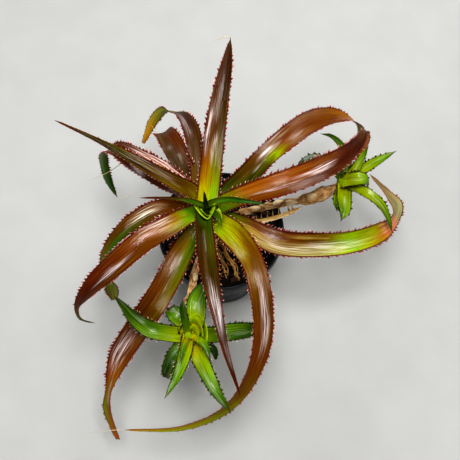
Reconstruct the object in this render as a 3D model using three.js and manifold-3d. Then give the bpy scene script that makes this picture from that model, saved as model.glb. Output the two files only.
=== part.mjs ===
import * as THREE from "three";
import { mergeVertices } from "three/addons/utils/BufferGeometryUtils.js";
import Module from "manifold-3d";

// A potted orthophytum glabrum in millimetres, +Z up. The origin is the middle of the pot's base.
// A rosette of long toothed strap leaves stands on a short woody stem. Two woody runners each carry
// a small green offset over the rim of a round nursery pot, which is filled with bark mix.

// Driving dimensions of the pot
const RIM_RADIUS = 55;
const RIM_BAND = 10;
const RIM_STEP = 2.5;
const RIM_EDGE = 1;
const BASE_RADIUS = 38;
const POT_HEIGHT = 95;
const POT_WALL = 1.6;
const FLOOR_HEIGHT = 4;
const FOOT_WIDTH = 6;
const CENTRE_PAD = 10;
const POT_SIDES = 32;
const DRAIN_HOLES = 6;
const DRAIN_RADIUS = 4;
const DRAIN_CIRCLE = 23;
const DRAIN_SIDES = 10;

// Driving dimensions of the soil
const SOIL_HEIGHT = 87;
const SOIL_RINGS = [0, 13, 27, 41];
const SOIL_RELIEF = 1.1;
// Lumps of the soil's top as [waves per mm in x, waves per mm in y, phase]
const SOIL_LUMPS = [[0.31, 0.05, 0.9], [-0.08, 0.27, 1.6], [0.17, 0.17, 2]];
const CHIP_COUNT = 26;
const CHIP_SIZE = [9, 5, 3];
const CHIP_SPREAD = { size: 0.6, tilt: 0.7, lift: 2.5 };
const CHIP_RING = { inner: 16, outer: 45 };
const GOLDEN_ANGLE = 137.5;

// Driving dimensions of the stem and its leaves
const CROWN = new THREE.Vector3(-9, -9, 0);
const STEM_FOOT = new THREE.Vector3(-2, 4, 60);
const STEM_TOP = new THREE.Vector3(-11, -14, 177);
const STEM_PROFILE = [[0, 5], [0.25, 8.5], [0.55, 9], [0.8, 7.5], [0.93, 5], [1, 2.5]];
const STEM_SIDES = 12;
// Dry stubs of dead leaves round the stem: how many, the lowest one's height, the rise to the next,
// and each stub's route from its base as [out, up, aside, width] rows
const STUBS = { count: 8, lowest: 92, rise: 2.8, fold: 22 };
const STUB_ROUTE = [[9, 3, 0, 9], [13, 10, 0, 7], [17, 15, 0, 2]];
const SEAT_GAP = 0.35;
const LEAF_GAP = 0.5;
const MARGIN_THICKNESS = 0.75;
const RIB_THICKNESS = 1.9;
const FULL_BLADE = 16;
const BASE_CUP = 16;
const BASE_CUP_REACH = 14;
const TRANSPORT_STEP = 0.005;

// Driving dimensions of the teeth: large leaves, offset leaves, and blades with no teeth
const LEAF_TEETH = { pitch: 13, base: 3, reach: 2.2, lean: 0.9 };
const OFFSET_TEETH = { pitch: 11, base: 2.6, reach: 1.5, lean: 0.7 };
const NO_TEETH = { pitch: 7, base: 3, reach: 0, lean: 0 };

// Bars from their first point to their last, as [share of the length, radius] rows
const RUNNER_PROFILE = [[0, 2.6], [0.2, 2.6], [0.22, 3.5], [0.25, 2.7], [0.48, 2.7], [0.5, 3.8], [0.53, 2.8],
  [0.68, 3], [0.7, 4.4], [0.76, 5.2], [0.86, 6], [0.94, 4], [1, 3]];
const RUNNER_SIDES = 8;
const ROOT_PROFILE = [[0, 1.3], [0.15, 1.2], [0.3, 1.1], [0.45, 1.1], [0.6, 1], [0.75, 1], [0.88, 1], [1, 0.8]];
const ROOT_SIDES = 6;

const FINISHES = {
  pot: { color: 0x14181a, roughness: 0.45, metalness: 0 },
  soil: { color: 0x2a1a10, roughness: 1, metalness: 0 },
  bark: { color: 0xa87c48, roughness: 0.85, metalness: 0 },
  root: { color: 0xc89858, roughness: 0.75, metalness: 0 },
  straw: { color: 0xcfae74, roughness: 0.8, metalness: 0 },
  leaf: { color: 0x7a4418, roughness: 0.35, metalness: 0 },
  youngLeaf: { color: 0x8a8a10, roughness: 0.35, metalness: 0 },
  offset: { color: 0x5f9a14, roughness: 0.35, metalness: 0 },
};

// The rosette, youngest leaf first. Each leaf leaves the stem at the height seat and follows its route.
// A route row is [out along the heading from the crown, height, aside to the left, width, roll in degrees].
const ROSETTE = [
  { name: "heart_up", heading: 110, seat: 175, fold: 40, young: true,
    route: [[-4, 187, 4, 5], [-3, 205, 4, 1.2]] },
  { name: "heart_left", heading: 176, seat: 173, fold: 40, young: true,
    route: [[11, 186, 7, 4.5], [21, 193, 8, 3.2], [36, 200, 11, 2], [50, 205, 14, 1.2]] },
  { name: "heart_right", heading: 5, seat: 172, fold: 40, young: true,
    route: [[6, 184, -6, 6], [16, 189, -7, 5], [26, 192, -10, 4], [45, 192, -14, 1.2]] },
  { name: "heart_low", heading: -60, seat: 170.5, fold: 40, young: true,
    route: [[12, 178, -3, 5], [20, 184, -2, 4], [29, 186, -4, 1.2]] },
  { name: "leaf_10", heading: -83, seat: 168, fold: 38,
    route: [[17, 173, -5, 13], [38, 180, -6, 14], [61, 184, -6, 14], [91, 182, -4, 9], [119, 174, -1, 5],
      [151, 160, 6, 1.2]] },
  { name: "leaf_01", heading: 82, seat: 165, fold: 24,
    route: [[10, 175, 1, 17], [25, 188, 1, 17], [52, 205, 1, 16], [78, 216, 0, 12.6], [98, 222, -1, 8.2],
      [118, 226, -1, 1.2]] },
  { name: "leaf_02", heading: 149, seat: 161.5, fold: 45,
    route: [[18, 171, 0, 13], [33, 180, 3, 12], [60, 192, 7, 9], [93, 198, 9, 4], [133, 200, 12, 1.2]] },
  { name: "leaf_12", heading: 213, seat: 158, fold: 24,
    route: [[17, 167, 0, 14], [38, 175, 2, 18], [61, 178, 3, 19], [88, 170, 5, 18], [109, 155, 4, 14],
      [127, 134, 4, 5, -15], [130, 118, 9, 2.5, -50], [122, 106, 15, 1.2, -60]] },
  { name: "leaf_07", heading: 23, seat: 154.5, fold: 22,
    route: [[12, 162, -2, 15], [33, 174, -7, 17], [58, 181, -12, 20], [89, 178, -11, 19], [119, 167, -2, 14],
      [139.5, 155, 10, 9], [153, 143, 22, 5, -10], [155, 127, 20, 7, -40], [151.5, 114, 17, 6, -36],
      [144.5, 102, 12, 1.6, -30]] },
  { name: "leaf_09", heading: -40, seat: 151, fold: 22,
    route: [[13, 157, -4, 17], [32, 166, -7, 20], [58, 173, -16, 17], [79, 168, -31, 16], [99, 148, -53, 14],
      [108, 124, -79, 10], [105, 98, -106, 7], [85, 76, -136, 5], [48, 62, -167, 1.6]] },
  { name: "leaf_08", heading: -4, seat: 146.5, fold: 18,
    route: [[14, 148, -2, 12], [30, 151, -10, 16], [54, 151, -21.5, 20], [83, 145, -20, 20],
      [116, 133, -10.5, 18], [143, 120, 6, 15.5], [156.5, 110, 22.5, 8], [160, 100, 41, 11.5, -38],
      [153.5, 92, 56, 5.5, -62], [139.5, 82, 78, 1.8, -70]] },
  { name: "leaf_11", heading: 239, seat: 142.5, fold: 20,
    route: [[14, 146, -2, 13], [40, 153, 0, 19], [74, 145, 2, 20], [104, 124, -3, 20], [130, 104, -7, 17],
      [153, 87, -4, 6], [165, 73, 0, 7], [174, 58, 9, 6], [180.5, 46, 17.5, 4]] },
  { name: "leaf_06", heading: 39, seat: 138.5, fold: 20,
    route: [[25, 143, 7, 15], [43, 152, 5, 19], [65, 162, 6, 18], [89, 164, 7, 19.5], [118.5, 157, 8, 20],
      [143, 145, 3, 15], [156.5, 132, -4, 6, -15], [162, 118, -11, 6.5, -60], [158, 104, -13, 5, -50],
      [152, 94, -10, 1.6, -42]] },
  { name: "leaf_03", heading: 145, seat: 134.5, fold: 22,
    route: [[26, 145, -7, 16], [50, 157, -3, 22], [72, 160, -1, 20], [96, 151, -3, 14], [109, 136, -1, 7, 25],
      [113, 116, 2, 8, 70], [107, 92, 7, 6.5, 60], [99, 72, 9, 1.4, 50]] },
  { name: "leaf_04", heading: 107, seat: 130.5, fold: 24,
    route: [[28, 139, 0, 12], [51, 147, -4, 12], [76, 150, -7, 14], [98, 140, -5, 10], [111, 128, 1, 4.5, 20],
      [124, 113, 8, 8, 60], [127, 92, 19, 8.5, 70], [122, 68, 31, 3.5, 65]] },
  { name: "leaf_05", heading: 117, seat: 126.5, fold: 20,
    route: [[34, 136, -1, 14], [51, 147, 0, 17], [66, 151, 0, 19], [85, 142, -1, 17], [97, 122, -2, 11],
      [98, 102, -6, 3]] },
  { name: "leaf_13", heading: 194, seat: 122.5, fold: 24,
    route: [[14, 131, -17, 11], [37.5, 144, -16.5, 14], [57.5, 144, -11, 15], [75, 133, -6.5, 11.5],
      [90.5, 112, 0.5, 8, -10], [94, 90, 10, 9, -30], [93, 76, 17, 11, -50], [94, 60, 22, 5, -52]] },
];

// Each offset's leaves, with route rows as above but measured from the middle of the offset.
const OFFSET_FRONT = {
  name: "offset_front",
  centre: new THREE.Vector3(-25, -105, 130),
  leaves: [
    { heading: 75, route: [[12, 12, -3, 16], [24, 16, -1, 15], [35, 15, -1, 9], [43, 12, 0, 1.2]] },
    { heading: 99, route: [[5, 16, 0, 6], [15, 26, 1, 5], [22, 30, 0, 1.2]] },
    { heading: 132, route: [[11, 7, -3, 14], [17.5, 9, -2, 13.5], [26, 7, 0, 4]] },
    { heading: 151, route: [[15, 11, 9, 13], [26, 14, 13, 13], [41, 12, 11, 10], [54, 7, 6, 6],
      [69, -1, 0, 1.2]] },
    { heading: 8, route: [[21, 9, -5, 13], [31, 10, -5, 14], [42, 6, -4, 13], [52, 0, -2, 9], [59, -8, 0, 3]] },
    { heading: 240, route: [[21, -2, -2, 10], [30, -7, -1, 9], [35, -13, 0, 5]] },
    { heading: 254, route: [[20, 18, 4, 10], [38, 24, 4, 7], [57, 25, 0, 1.2]] },
    { heading: 298, route: [[23, 12, -1.5, 13], [43, 16, -2.5, 10.5], [56, 14, -2, 7], [71, 8, 1, 1.2]] },
    { heading: 321, route: [[22, -2, 4, 6], [28, -6, 0, 2]] },
    { heading: 305, route: [[18, 18, 4, 6], [32, 26, 0, 1.2]] },
    { heading: 261, route: [[18, 22, 0, 4], [28, 28, 0, 1.2]] },
  ],
};
const OFFSET_RIGHT = {
  name: "offset_right",
  centre: new THREE.Vector3(104, 27, 130),
  leaves: [
    { heading: 23, route: [[15, 12, 0, 9], [28, 20, 0, 8], [45, 27, 0, 1.2]] },
    { heading: 48, route: [[12, 16, -2, 8], [19, 24, -1, 6], [27, 31, 0, 1.2]] },
    { heading: 112, route: [[18, 8, -10, 8], [31, 9, -10, 6], [41, 8, -7, 4], [49, 5, 0, 1.2]] },
    { heading: 162, route: [[16, 6, -10, 9], [29, 8, -11, 9], [37, 7, -6, 6], [43, 3, 0, 1.2]] },
    { heading: 262, route: [[21, 10, 1, 12], [31, 12, 2, 9], [39, 10, 0, 1.2]] },
    { heading: 313, route: [[16, 11, 1, 10], [26, 12, 3, 9], [37, 8, 5, 8], [47, 1, 4, 5], [58, -6, 0, 1.2]] },
    { heading: 341, route: [[9, 14, -1, 14], [15, 15, 1, 12], [20, 9, 0, 4]] },
    { heading: 256, route: [[18, 3, -2, 8], [27, 3, 0, 2]] },
  ],
};
const OFFSET_FOLD = 24;
// The bud in the middle of an offset, as [radius, height] rows
const BUD_PROFILE = [[0, -6], [6, -2], [6, 4], [2, 16], [0, 16]];
const BUD_SIDES = 10;

// Routes of the runners, the dead leaf on the right runner and the loose roots, as points in millimetres
const RUNNER_RIGHT = [[-5, 0, 106], [21, 10, 110], [35, 13, 112], [53, 16, 114], [79, 19, 120], [101, 26, 128]];
const RUNNER_FRONT = [[-6, -4, 104], [-19, -37, 112], [-23, -59, 117], [-26, -81, 121], [-25, -102, 127]];
const OLD_LEAF = [[12, 4, 106], [32, 3, 106], [47, 6, 107], [62, 11, 109], [70, 15, 110.5]];
const OLD_LEAF_WIDTHS = [4.5, 4.5, 2.2];
const OLD_LEAF_FOLD = 20;
const ROOTS = [
  [[-5, -4, 102], [5, -25, 98], [12, -37, 98], [14, -43, 93], [14, -44, 80]],
  [[-5, -2, 98], [-2, -22, 95], [3, -33, 95], [5, -41, 91], [3, -43, 80]],
  [[-4, 0, 98], [-22, -8, 97], [-33, -18, 93], [-36, -24, 80]],
];

const UP = new THREE.Vector3(0, 0, 1);
const wasm = await Module();
wasm.setup();

// A seeded draw between 0 and 1, the same at every run.
function seededDraw(seed) {
  let state = seed;
  return () => {
    state = (state * 1664525 + 1013904223) % 4294967296;
    return state / 4294967296;
  };
}

function vectors(rows) {
  return rows.map((row) => new THREE.Vector3(...row));
}

// A closed geometry as a solid that can be joined and cut.
function toSolid(geometry) {
  const bare = geometry.clone();
  bare.deleteAttribute("normal");
  bare.deleteAttribute("uv");
  const merged = mergeVertices(bare, 1e-4);
  return new wasm.Manifold(
    new wasm.Mesh({
      numProp: 3,
      vertProperties: merged.getAttribute("position").array,
      triVerts: new Uint32Array(merged.getIndex().array),
    }),
  );
}

function toGeometry(solid) {
  const mesh = solid.getMesh();
  const geometry = new THREE.BufferGeometry();
  geometry.setAttribute("position", new THREE.Float32BufferAttribute(mesh.vertProperties, 3));
  geometry.setIndex(new THREE.Uint32BufferAttribute(mesh.triVerts, 1));
  geometry.computeVertexNormals();
  return geometry;
}

// Drops the crumbs that a cut leaves beside the main body.
function largestBody(solid) {
  return solid.decompose().reduce((best, body) => (body.volume() > best.volume() ? body : best));
}

// A turned shape about the Z axis from [radius, height] rows that close on the axis or on themselves.
function turned(profile, sides) {
  const geometry = new THREE.LatheGeometry(
    profile.map(([radius, height]) => new THREE.Vector2(radius, height)),
    sides,
  );
  return geometry.rotateX(Math.PI / 2);
}

// Fractions of the blade's length at which its section is set: two close ones under each tooth.
function bladeStops(length, teeth) {
  const stops = [0];
  for (let at = teeth.pitch; at + teeth.pitch < length; at += teeth.pitch) {
    stops.push((at - teeth.base) / length, at / length);
  }
  stops.push(1);
  return stops;
}

// Carries the side direction along the curve without twist.
function sideDirections(curve, across, stops) {
  const side = across.clone();
  let at = 0;
  return stops.map((stop) => {
    do {
      at = Math.min(at + TRANSPORT_STEP, stop);
      const tangent = curve.getTangentAt(at);
      side.addScaledVector(tangent, -side.dot(tangent)).normalize();
    } while (at < stop);
    return side.clone();
  });
}

// A gutter-shaped blade with toothed margins. Its section has three points on top and three below.
// The shape curve gives the width and the roll at each stop. Extra thickness makes the clearance body.
function bladeGeometry({ curve, shape, across, fold, teeth, cup = 0, extra = 0 }) {
  const length = curve.getLength();
  const stops = bladeStops(length, teeth);
  const sides = sideDirections(curve, across, stops);
  const points = [];
  const faces = [];
  stops.forEach((stop, index) => {
    const tangent = curve.getTangentAt(stop);
    const overrun = (stop === 1 ? extra : 0) - (stop === 0 ? extra : 0);
    const centre = curve.getPointAt(stop).addScaledVector(tangent, overrun);
    const { x: width, y: roll } = shape.getPoint(curve.getUtoTmapping(stop));
    const side = sides[index].clone().applyAxisAngle(tangent, THREE.MathUtils.degToRad(roll));
    const normal = tangent.clone().cross(side);
    const half = Math.max(width, 1.2) / 2 + extra;
    const tilt = THREE.MathUtils.degToRad(fold + cup * Math.exp((-stop * length) / BASE_CUP_REACH));
    const rib = THREE.MathUtils.lerp(MARGIN_THICKNESS, RIB_THICKNESS, Math.min(1, width / FULL_BLADE));
    const section = [
      [-half, half * Math.tan(tilt) + MARGIN_THICKNESS / 2 + extra],
      [0, rib / 2 + extra],
      [half, half * Math.tan(tilt) + MARGIN_THICKNESS / 2 + extra],
      [half, half * Math.tan(tilt) - MARGIN_THICKNESS / 2 - extra],
      [0, -rib / 2 - extra],
      [-half, half * Math.tan(tilt) - MARGIN_THICKNESS / 2 - extra],
    ];
    for (const [aside, above] of section) {
      points.push(centre.clone().addScaledVector(side, aside).addScaledVector(normal, above));
    }
  });
  const ring = 6;
  const [rightTop, midTop, leftTop, leftLow, midLow, rightLow] = [0, 1, 2, 3, 4, 5];
  const margins = [[leftTop, leftLow, midTop], [rightLow, rightTop, midTop]];
  for (let index = 0; index + 1 < stops.length; index += 1) {
    const here = index * ring;
    const next = here + ring;
    faces.push(here + rightTop, next + rightTop, next + midTop, here + rightTop, next + midTop, here + midTop);
    faces.push(here + midTop, next + midTop, next + leftTop, here + midTop, next + leftTop, here + leftTop);
    faces.push(here + rightLow, next + midLow, next + rightLow, here + rightLow, here + midLow, next + midLow);
    faces.push(here + midLow, next + leftLow, next + midLow, here + midLow, here + leftLow, next + leftLow);
    const hasTooth = teeth.reach > 0 && index % 2 === 1 && index + 2 < stops.length;
    for (const [first, second, inner] of margins) {
      const corners = [here + first, next + first, next + second, here + second];
      if (hasTooth) {
        const middle = new THREE.Vector3();
        corners.forEach((corner) => middle.addScaledVector(points[corner], 0.25));
        const ribMiddle = points[here + inner].clone().add(points[next + inner]).multiplyScalar(0.5);
        const outward = middle.clone().sub(ribMiddle).normalize();
        const forward = points[next + first].clone().sub(points[here + first]).normalize();
        points.push(middle.addScaledVector(outward, teeth.reach + extra).addScaledVector(forward, teeth.lean));
        const apex = points.length - 1;
        corners.forEach((corner, turn) => faces.push(corner, corners[(turn + 1) % 4], apex));
      } else {
        faces.push(corners[0], corners[1], corners[2], corners[0], corners[2], corners[3]);
      }
    }
  }
  const last = (stops.length - 1) * ring;
  faces.push(rightTop, midTop, midLow, rightTop, midLow, rightLow);
  faces.push(midTop, leftTop, leftLow, midTop, leftLow, midLow);
  faces.push(last + rightTop, last + midLow, last + midTop, last + rightTop, last + rightLow, last + midLow);
  faces.push(last + midTop, last + leftLow, last + leftTop, last + midTop, last + midLow, last + leftLow);
  const geometry = new THREE.BufferGeometry().setFromPoints(points);
  geometry.setIndex(faces);
  return geometry;
}

// The curve, the width and roll along it, and the side direction of a blade from its route rows.
function bladeCourse(start, origin, heading, route) {
  const angle = THREE.MathUtils.degToRad(heading);
  const along = new THREE.Vector3(Math.cos(angle), Math.sin(angle), 0);
  const across = UP.clone().cross(along);
  const points = route.map(([out, up, aside]) =>
    origin.clone().addScaledVector(along, out).addScaledVector(across, aside).addScaledVector(UP, up),
  );
  const shapes = route.map(([, , , width, roll = 0]) => new THREE.Vector3(width, roll, 0));
  return {
    curve: new THREE.CatmullRomCurve3([start, ...points]),
    shape: new THREE.CatmullRomCurve3([shapes[0], ...shapes], false, "catmullrom"),
    across,
  };
}

// The stem's middle at a height.
function stemAt(height) {
  return STEM_FOOT.clone().lerp(STEM_TOP, (height - STEM_FOOT.z) / (STEM_TOP.z - STEM_FOOT.z));
}

// A round bar turned from [share, radius] rows and bent along a smooth curve.
function barSolid(curve, profile, sides, extra = 0) {
  const length = curve.getLength();
  const rows = profile.map(([share, radius]) => [radius + extra, share * length]);
  rows[0][1] -= extra;
  rows.at(-1)[1] += extra;
  const geometry = turned([[0, rows[0][1]], ...rows, [0, rows.at(-1)[1]]], sides);
  const position = geometry.getAttribute("position");
  const across = UP.clone().cross(curve.getTangentAt(0));
  if (across.length() < 0.5) {
    across.set(1, 0, 0);
  }
  for (let index = 0; index < position.count; index += 1) {
    const height = position.getZ(index);
    const share = THREE.MathUtils.clamp(height / length, 0, 1);
    const tangent = curve.getTangentAt(share);
    const side = across.clone().addScaledVector(tangent, -across.dot(tangent)).normalize();
    const normal = tangent.clone().cross(side);
    const place = curve.getPointAt(share).addScaledVector(tangent, height - share * length);
    place.addScaledVector(side, position.getX(index)).addScaledVector(normal, position.getY(index));
    position.setXYZ(index, place.x, place.y, place.z);
  }
  return toSolid(geometry);
}

function stemSolid(extra) {
  return barSolid(new THREE.LineCurve3(STEM_FOOT, STEM_TOP), STEM_PROFILE, STEM_SIDES, extra);
}

// Pot: a tapered wall with a stepped rim band, and a raised floor with drain holes on a foot ring and a pad.
function potSolid() {
  const band = POT_HEIGHT - RIM_BAND;
  const neck = RIM_RADIUS - RIM_STEP;
  const profile = [
    [0, 0],
    [CENTRE_PAD, 0],
    [CENTRE_PAD, FLOOR_HEIGHT - POT_WALL],
    [BASE_RADIUS - FOOT_WIDTH, FLOOR_HEIGHT - POT_WALL],
    [BASE_RADIUS - FOOT_WIDTH, 0],
    [BASE_RADIUS, 0],
    [neck, band],
    [RIM_RADIUS, band],
    [RIM_RADIUS, POT_HEIGHT - RIM_EDGE],
    [RIM_RADIUS - RIM_EDGE, POT_HEIGHT],
    [RIM_RADIUS - POT_WALL, POT_HEIGHT],
    [RIM_RADIUS - POT_WALL, band + POT_WALL],
    [neck - POT_WALL, band + POT_WALL],
    [BASE_RADIUS - POT_WALL, FLOOR_HEIGHT],
    [0, FLOOR_HEIGHT],
  ];
  let solid = toSolid(turned(profile, POT_SIDES));
  for (let hole = 0; hole < DRAIN_HOLES; hole += 1) {
    const angle = (2 * Math.PI * hole) / DRAIN_HOLES;
    const drill = new THREE.CylinderGeometry(DRAIN_RADIUS, DRAIN_RADIUS, 4 * FLOOR_HEIGHT, DRAIN_SIDES);
    drill.rotateX(Math.PI / 2);
    drill.translate(DRAIN_CIRCLE * Math.cos(angle), DRAIN_CIRCLE * Math.sin(angle), 0);
    solid = solid.subtract(toSolid(drill));
  }
  return solid;
}

// The inside radius of the pot's tapered wall at a height.
function potInside(height) {
  const share = (height - FLOOR_HEIGHT) / (POT_HEIGHT - RIM_BAND + POT_WALL - FLOOR_HEIGHT);
  return THREE.MathUtils.lerp(BASE_RADIUS, RIM_RADIUS - RIM_STEP, share) - POT_WALL;
}

// Soil: a plug that fills the pot, lumpy on top, with bark chips sunk into it.
function soilSolid() {
  const foot = FLOOR_HEIGHT + SEAT_GAP;
  const shoulder = POT_HEIGHT - RIM_BAND;
  const top = SOIL_RINGS.map((radius) => [radius, SOIL_HEIGHT]).reverse();
  const profile = [
    [0, foot],
    [potInside(foot) - SEAT_GAP, foot],
    [potInside(shoulder) - SEAT_GAP, shoulder],
    ...top,
  ];
  const geometry = turned(profile, POT_SIDES);
  const position = geometry.getAttribute("position");
  for (let index = 0; index < position.count; index += 1) {
    if (position.getZ(index) > shoulder + SEAT_GAP) {
      const [x, y] = [position.getX(index), position.getY(index)];
      const lump = SOIL_LUMPS.reduce((sum, [inX, inY, phase]) => sum + Math.sin(inX * x + inY * y + phase), 0);
      position.setZ(index, SOIL_HEIGHT + SOIL_RELIEF * lump);
    }
  }
  let solid = toSolid(geometry);
  const draw = seededDraw(7);
  for (let chip = 0; chip < CHIP_COUNT; chip += 1) {
    const angle = THREE.MathUtils.degToRad(GOLDEN_ANGLE * chip);
    const radius = THREE.MathUtils.lerp(CHIP_RING.inner, CHIP_RING.outer, Math.sqrt(chip / CHIP_COUNT));
    const size = CHIP_SIZE.map((side) => side * (1 + CHIP_SPREAD.size * (draw() - 0.5)));
    const piece = new THREE.BoxGeometry(...size);
    piece.rotateX(CHIP_SPREAD.tilt * (draw() - 0.5));
    piece.rotateY(CHIP_SPREAD.tilt * (draw() - 0.5));
    piece.rotateZ(Math.PI * draw());
    const height = SOIL_HEIGHT + CHIP_SPREAD.lift * draw();
    piece.translate(radius * Math.cos(angle), radius * Math.sin(angle), height);
    solid = solid.add(toSolid(piece));
  }
  return solid;
}

// Stem with the dry stubs of dead leaves round it, above the soil and below the living leaves.
function dressedStem() {
  let solid = stemSolid(0);
  for (let stub = 0; stub < STUBS.count; stub += 1) {
    const start = stemAt(STUBS.lowest + STUBS.rise * stub);
    const course = bladeCourse(start, start, GOLDEN_ANGLE * stub, STUB_ROUTE);
    solid = solid.add(toSolid(bladeGeometry({ ...course, fold: STUBS.fold, teeth: NO_TEETH })));
  }
  return solid;
}

// Runner: a woody bar with ringed joints and a swollen sheath under its offset.
function runnerSolid(points, extra) {
  return barSolid(new THREE.CatmullRomCurve3(vectors(points)), RUNNER_PROFILE, RUNNER_SIDES, extra);
}

function rootSolid(points, extra) {
  return barSolid(new THREE.CatmullRomCurve3(vectors(points)), ROOT_PROFILE, ROOT_SIDES, extra);
}

// Offset: a leafy young rosette round a short bud, grown as one piece.
function offsetSolid({ centre, leaves }) {
  const bud = turned(BUD_PROFILE, BUD_SIDES).translate(centre.x, centre.y, centre.z);
  let solid = toSolid(bud);
  for (const { heading, route } of leaves) {
    const course = bladeCourse(centre.clone(), centre, heading, route);
    const blade = bladeGeometry({ ...course, fold: OFFSET_FOLD, cup: BASE_CUP, teeth: OFFSET_TEETH });
    solid = solid.add(toSolid(blade));
  }
  return solid;
}

const group = new THREE.Group();

function addMesh(name, solid, finish) {
  const mesh = new THREE.Mesh(toGeometry(largestBody(solid)), new THREE.MeshStandardMaterial(finish));
  mesh.name = name;
  group.add(mesh);
}

// Rosette leaves: each one is cut clear of the stem and of the younger leaves that it wraps.
const stemClearance = stemSolid(SEAT_GAP);
let youngerLeaves = stemClearance;
for (const { name, heading, seat, fold, route, young = false } of ROSETTE) {
  const blade = { ...bladeCourse(stemAt(seat), CROWN, heading, route), fold, cup: BASE_CUP, teeth: LEAF_TEETH };
  const solid = toSolid(bladeGeometry(blade)).subtract(youngerLeaves);
  addMesh(name, solid, young ? FINISHES.youngLeaf : FINISHES.leaf);
  youngerLeaves = youngerLeaves.add(toSolid(bladeGeometry({ ...blade, extra: LEAF_GAP })));
}

// Runners, and the offsets with a socket where the runner enters
const runnersClearance = runnerSolid(RUNNER_RIGHT, SEAT_GAP).add(runnerSolid(RUNNER_FRONT, SEAT_GAP));
addMesh("runner_right", runnerSolid(RUNNER_RIGHT, 0).subtract(stemClearance), FINISHES.bark);
addMesh("runner_front", runnerSolid(RUNNER_FRONT, 0).subtract(stemClearance), FINISHES.bark);
for (const offset of [OFFSET_FRONT, OFFSET_RIGHT]) {
  addMesh(offset.name, offsetSolid(offset).subtract(runnersClearance), FINISHES.offset);
}

// Dead leaf along the right runner
const oldLeaf = bladeGeometry({
  curve: new THREE.CatmullRomCurve3(vectors(OLD_LEAF)),
  shape: new THREE.CatmullRomCurve3(OLD_LEAF_WIDTHS.map((width) => new THREE.Vector3(width, 0, 0))),
  across: new THREE.Vector3(0, 1, 0),
  fold: OLD_LEAF_FOLD,
  teeth: OFFSET_TEETH,
});
addMesh("old_leaf_right", toSolid(oldLeaf).subtract(runnersClearance).subtract(stemClearance), FINISHES.straw);

// Roots, with the stem and the soil cut clear of them
let stem = dressedStem().subtract(runnersClearance);
let soil = soilSolid().subtract(stemClearance);
ROOTS.forEach((points, index) => {
  addMesh(`root_${index + 1}`, rootSolid(points, 0).subtract(stemClearance), FINISHES.root);
  const rootClearance = rootSolid(points, SEAT_GAP);
  stem = stem.subtract(rootClearance);
  soil = soil.subtract(rootClearance);
});
addMesh("stem", stem, FINISHES.bark);
addMesh("soil", soil, FINISHES.soil);
addMesh("pot", potSolid(), FINISHES.pot);

export default group;
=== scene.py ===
"""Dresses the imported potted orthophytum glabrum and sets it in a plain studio.

Sizes are in millimetres and turned to metres when a piece is finished. The origin is the middle of
the pot's base and +Z is up.
"""

import bisect
import logging
import math
import random
from collections.abc import Callable, Sequence
from dataclasses import dataclass, field
from enum import Enum

import bmesh
import bpy
from mathutils import Matrix, Vector, noise


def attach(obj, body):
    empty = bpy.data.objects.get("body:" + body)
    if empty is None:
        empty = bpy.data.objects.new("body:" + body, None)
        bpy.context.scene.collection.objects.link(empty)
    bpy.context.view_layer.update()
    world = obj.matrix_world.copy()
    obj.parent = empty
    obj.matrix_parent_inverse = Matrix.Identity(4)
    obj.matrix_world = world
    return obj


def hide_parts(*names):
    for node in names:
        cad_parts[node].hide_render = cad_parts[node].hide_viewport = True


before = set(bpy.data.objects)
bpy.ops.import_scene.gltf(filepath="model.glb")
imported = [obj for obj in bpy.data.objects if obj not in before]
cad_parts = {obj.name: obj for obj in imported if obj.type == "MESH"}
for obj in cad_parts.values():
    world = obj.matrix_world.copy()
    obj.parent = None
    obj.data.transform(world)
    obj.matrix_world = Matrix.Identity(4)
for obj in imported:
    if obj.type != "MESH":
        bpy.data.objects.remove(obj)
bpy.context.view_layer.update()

LOG = logging.getLogger("orthophytum")

Row = tuple[float, ...]
Range = tuple[float, float]
Profile = Sequence[Range]
Stops = tuple[tuple[float, str], ...]
Place = Callable[[float, float, float], Vector]

MM = 0.001
UP = Vector((0.0, 0.0, 1.0))
GOLDEN_ANGLE = 137.5
CROWN = Vector((-9.0, -9.0, 0.0))
STEM_FOOT = Vector((-2.0, 4.0, 60.0))
STEM_TOP = Vector((-11.0, -14.0, 177.0))
SHARE_MAP = "Share"
METRIC_MAP = "Metric"
UNDER = "under"
TONE = "tone"
UNDER_SLOPE = 2.5
PHOTO_SIDE = 460
LEAST_GAP = 1e-8
DOUBLE_GAP = 1e-3

# Sockets of the nodes that mix two colours, that map a range, and that multiply and add
MIX_A, MIX_B, MIX_OUT = 6, 7, 2
FROM_MIN, FROM_MAX, TO_MIN, TO_MAX = 1, 2, 3, 4
FACTOR, ADDED = 1, 2

# The sRGB curve is straight up to its knee, and a power of the lifted level above it
SRGB_KNEE, SRGB_SLOPE, SRGB_LIFT, SRGB_POWER = 0.04045, 12.92, 0.055, 2.4
FULL_CHANNEL = 255

# Material indices of a rosette leaf's parts, the last one a dark plug of painted shade, and of an offset's
# sheaths
HORN, THREAD, RIM, SHADE_PLUG_INDEX = 1, 2, 3, 4
OFFSET_RIM = 2


class Slot(Enum):
    """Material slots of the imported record."""

    LEAF = "leaf_copper"
    YOUNG = "leaf_young"
    OFFSET = "leaf_offset"
    BARK = "runner_bark"
    ROOT = "root_fibre"
    STRAW = "straw"
    MIX = "bark_mix"
    POT = "pot_plastic"


class Wrap(Enum):
    """How a pattern is laid round a tube."""

    BLADE = "across the width, the same on both faces"
    BAR = "evenly round the bar, mirrored"


# Curves


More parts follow.
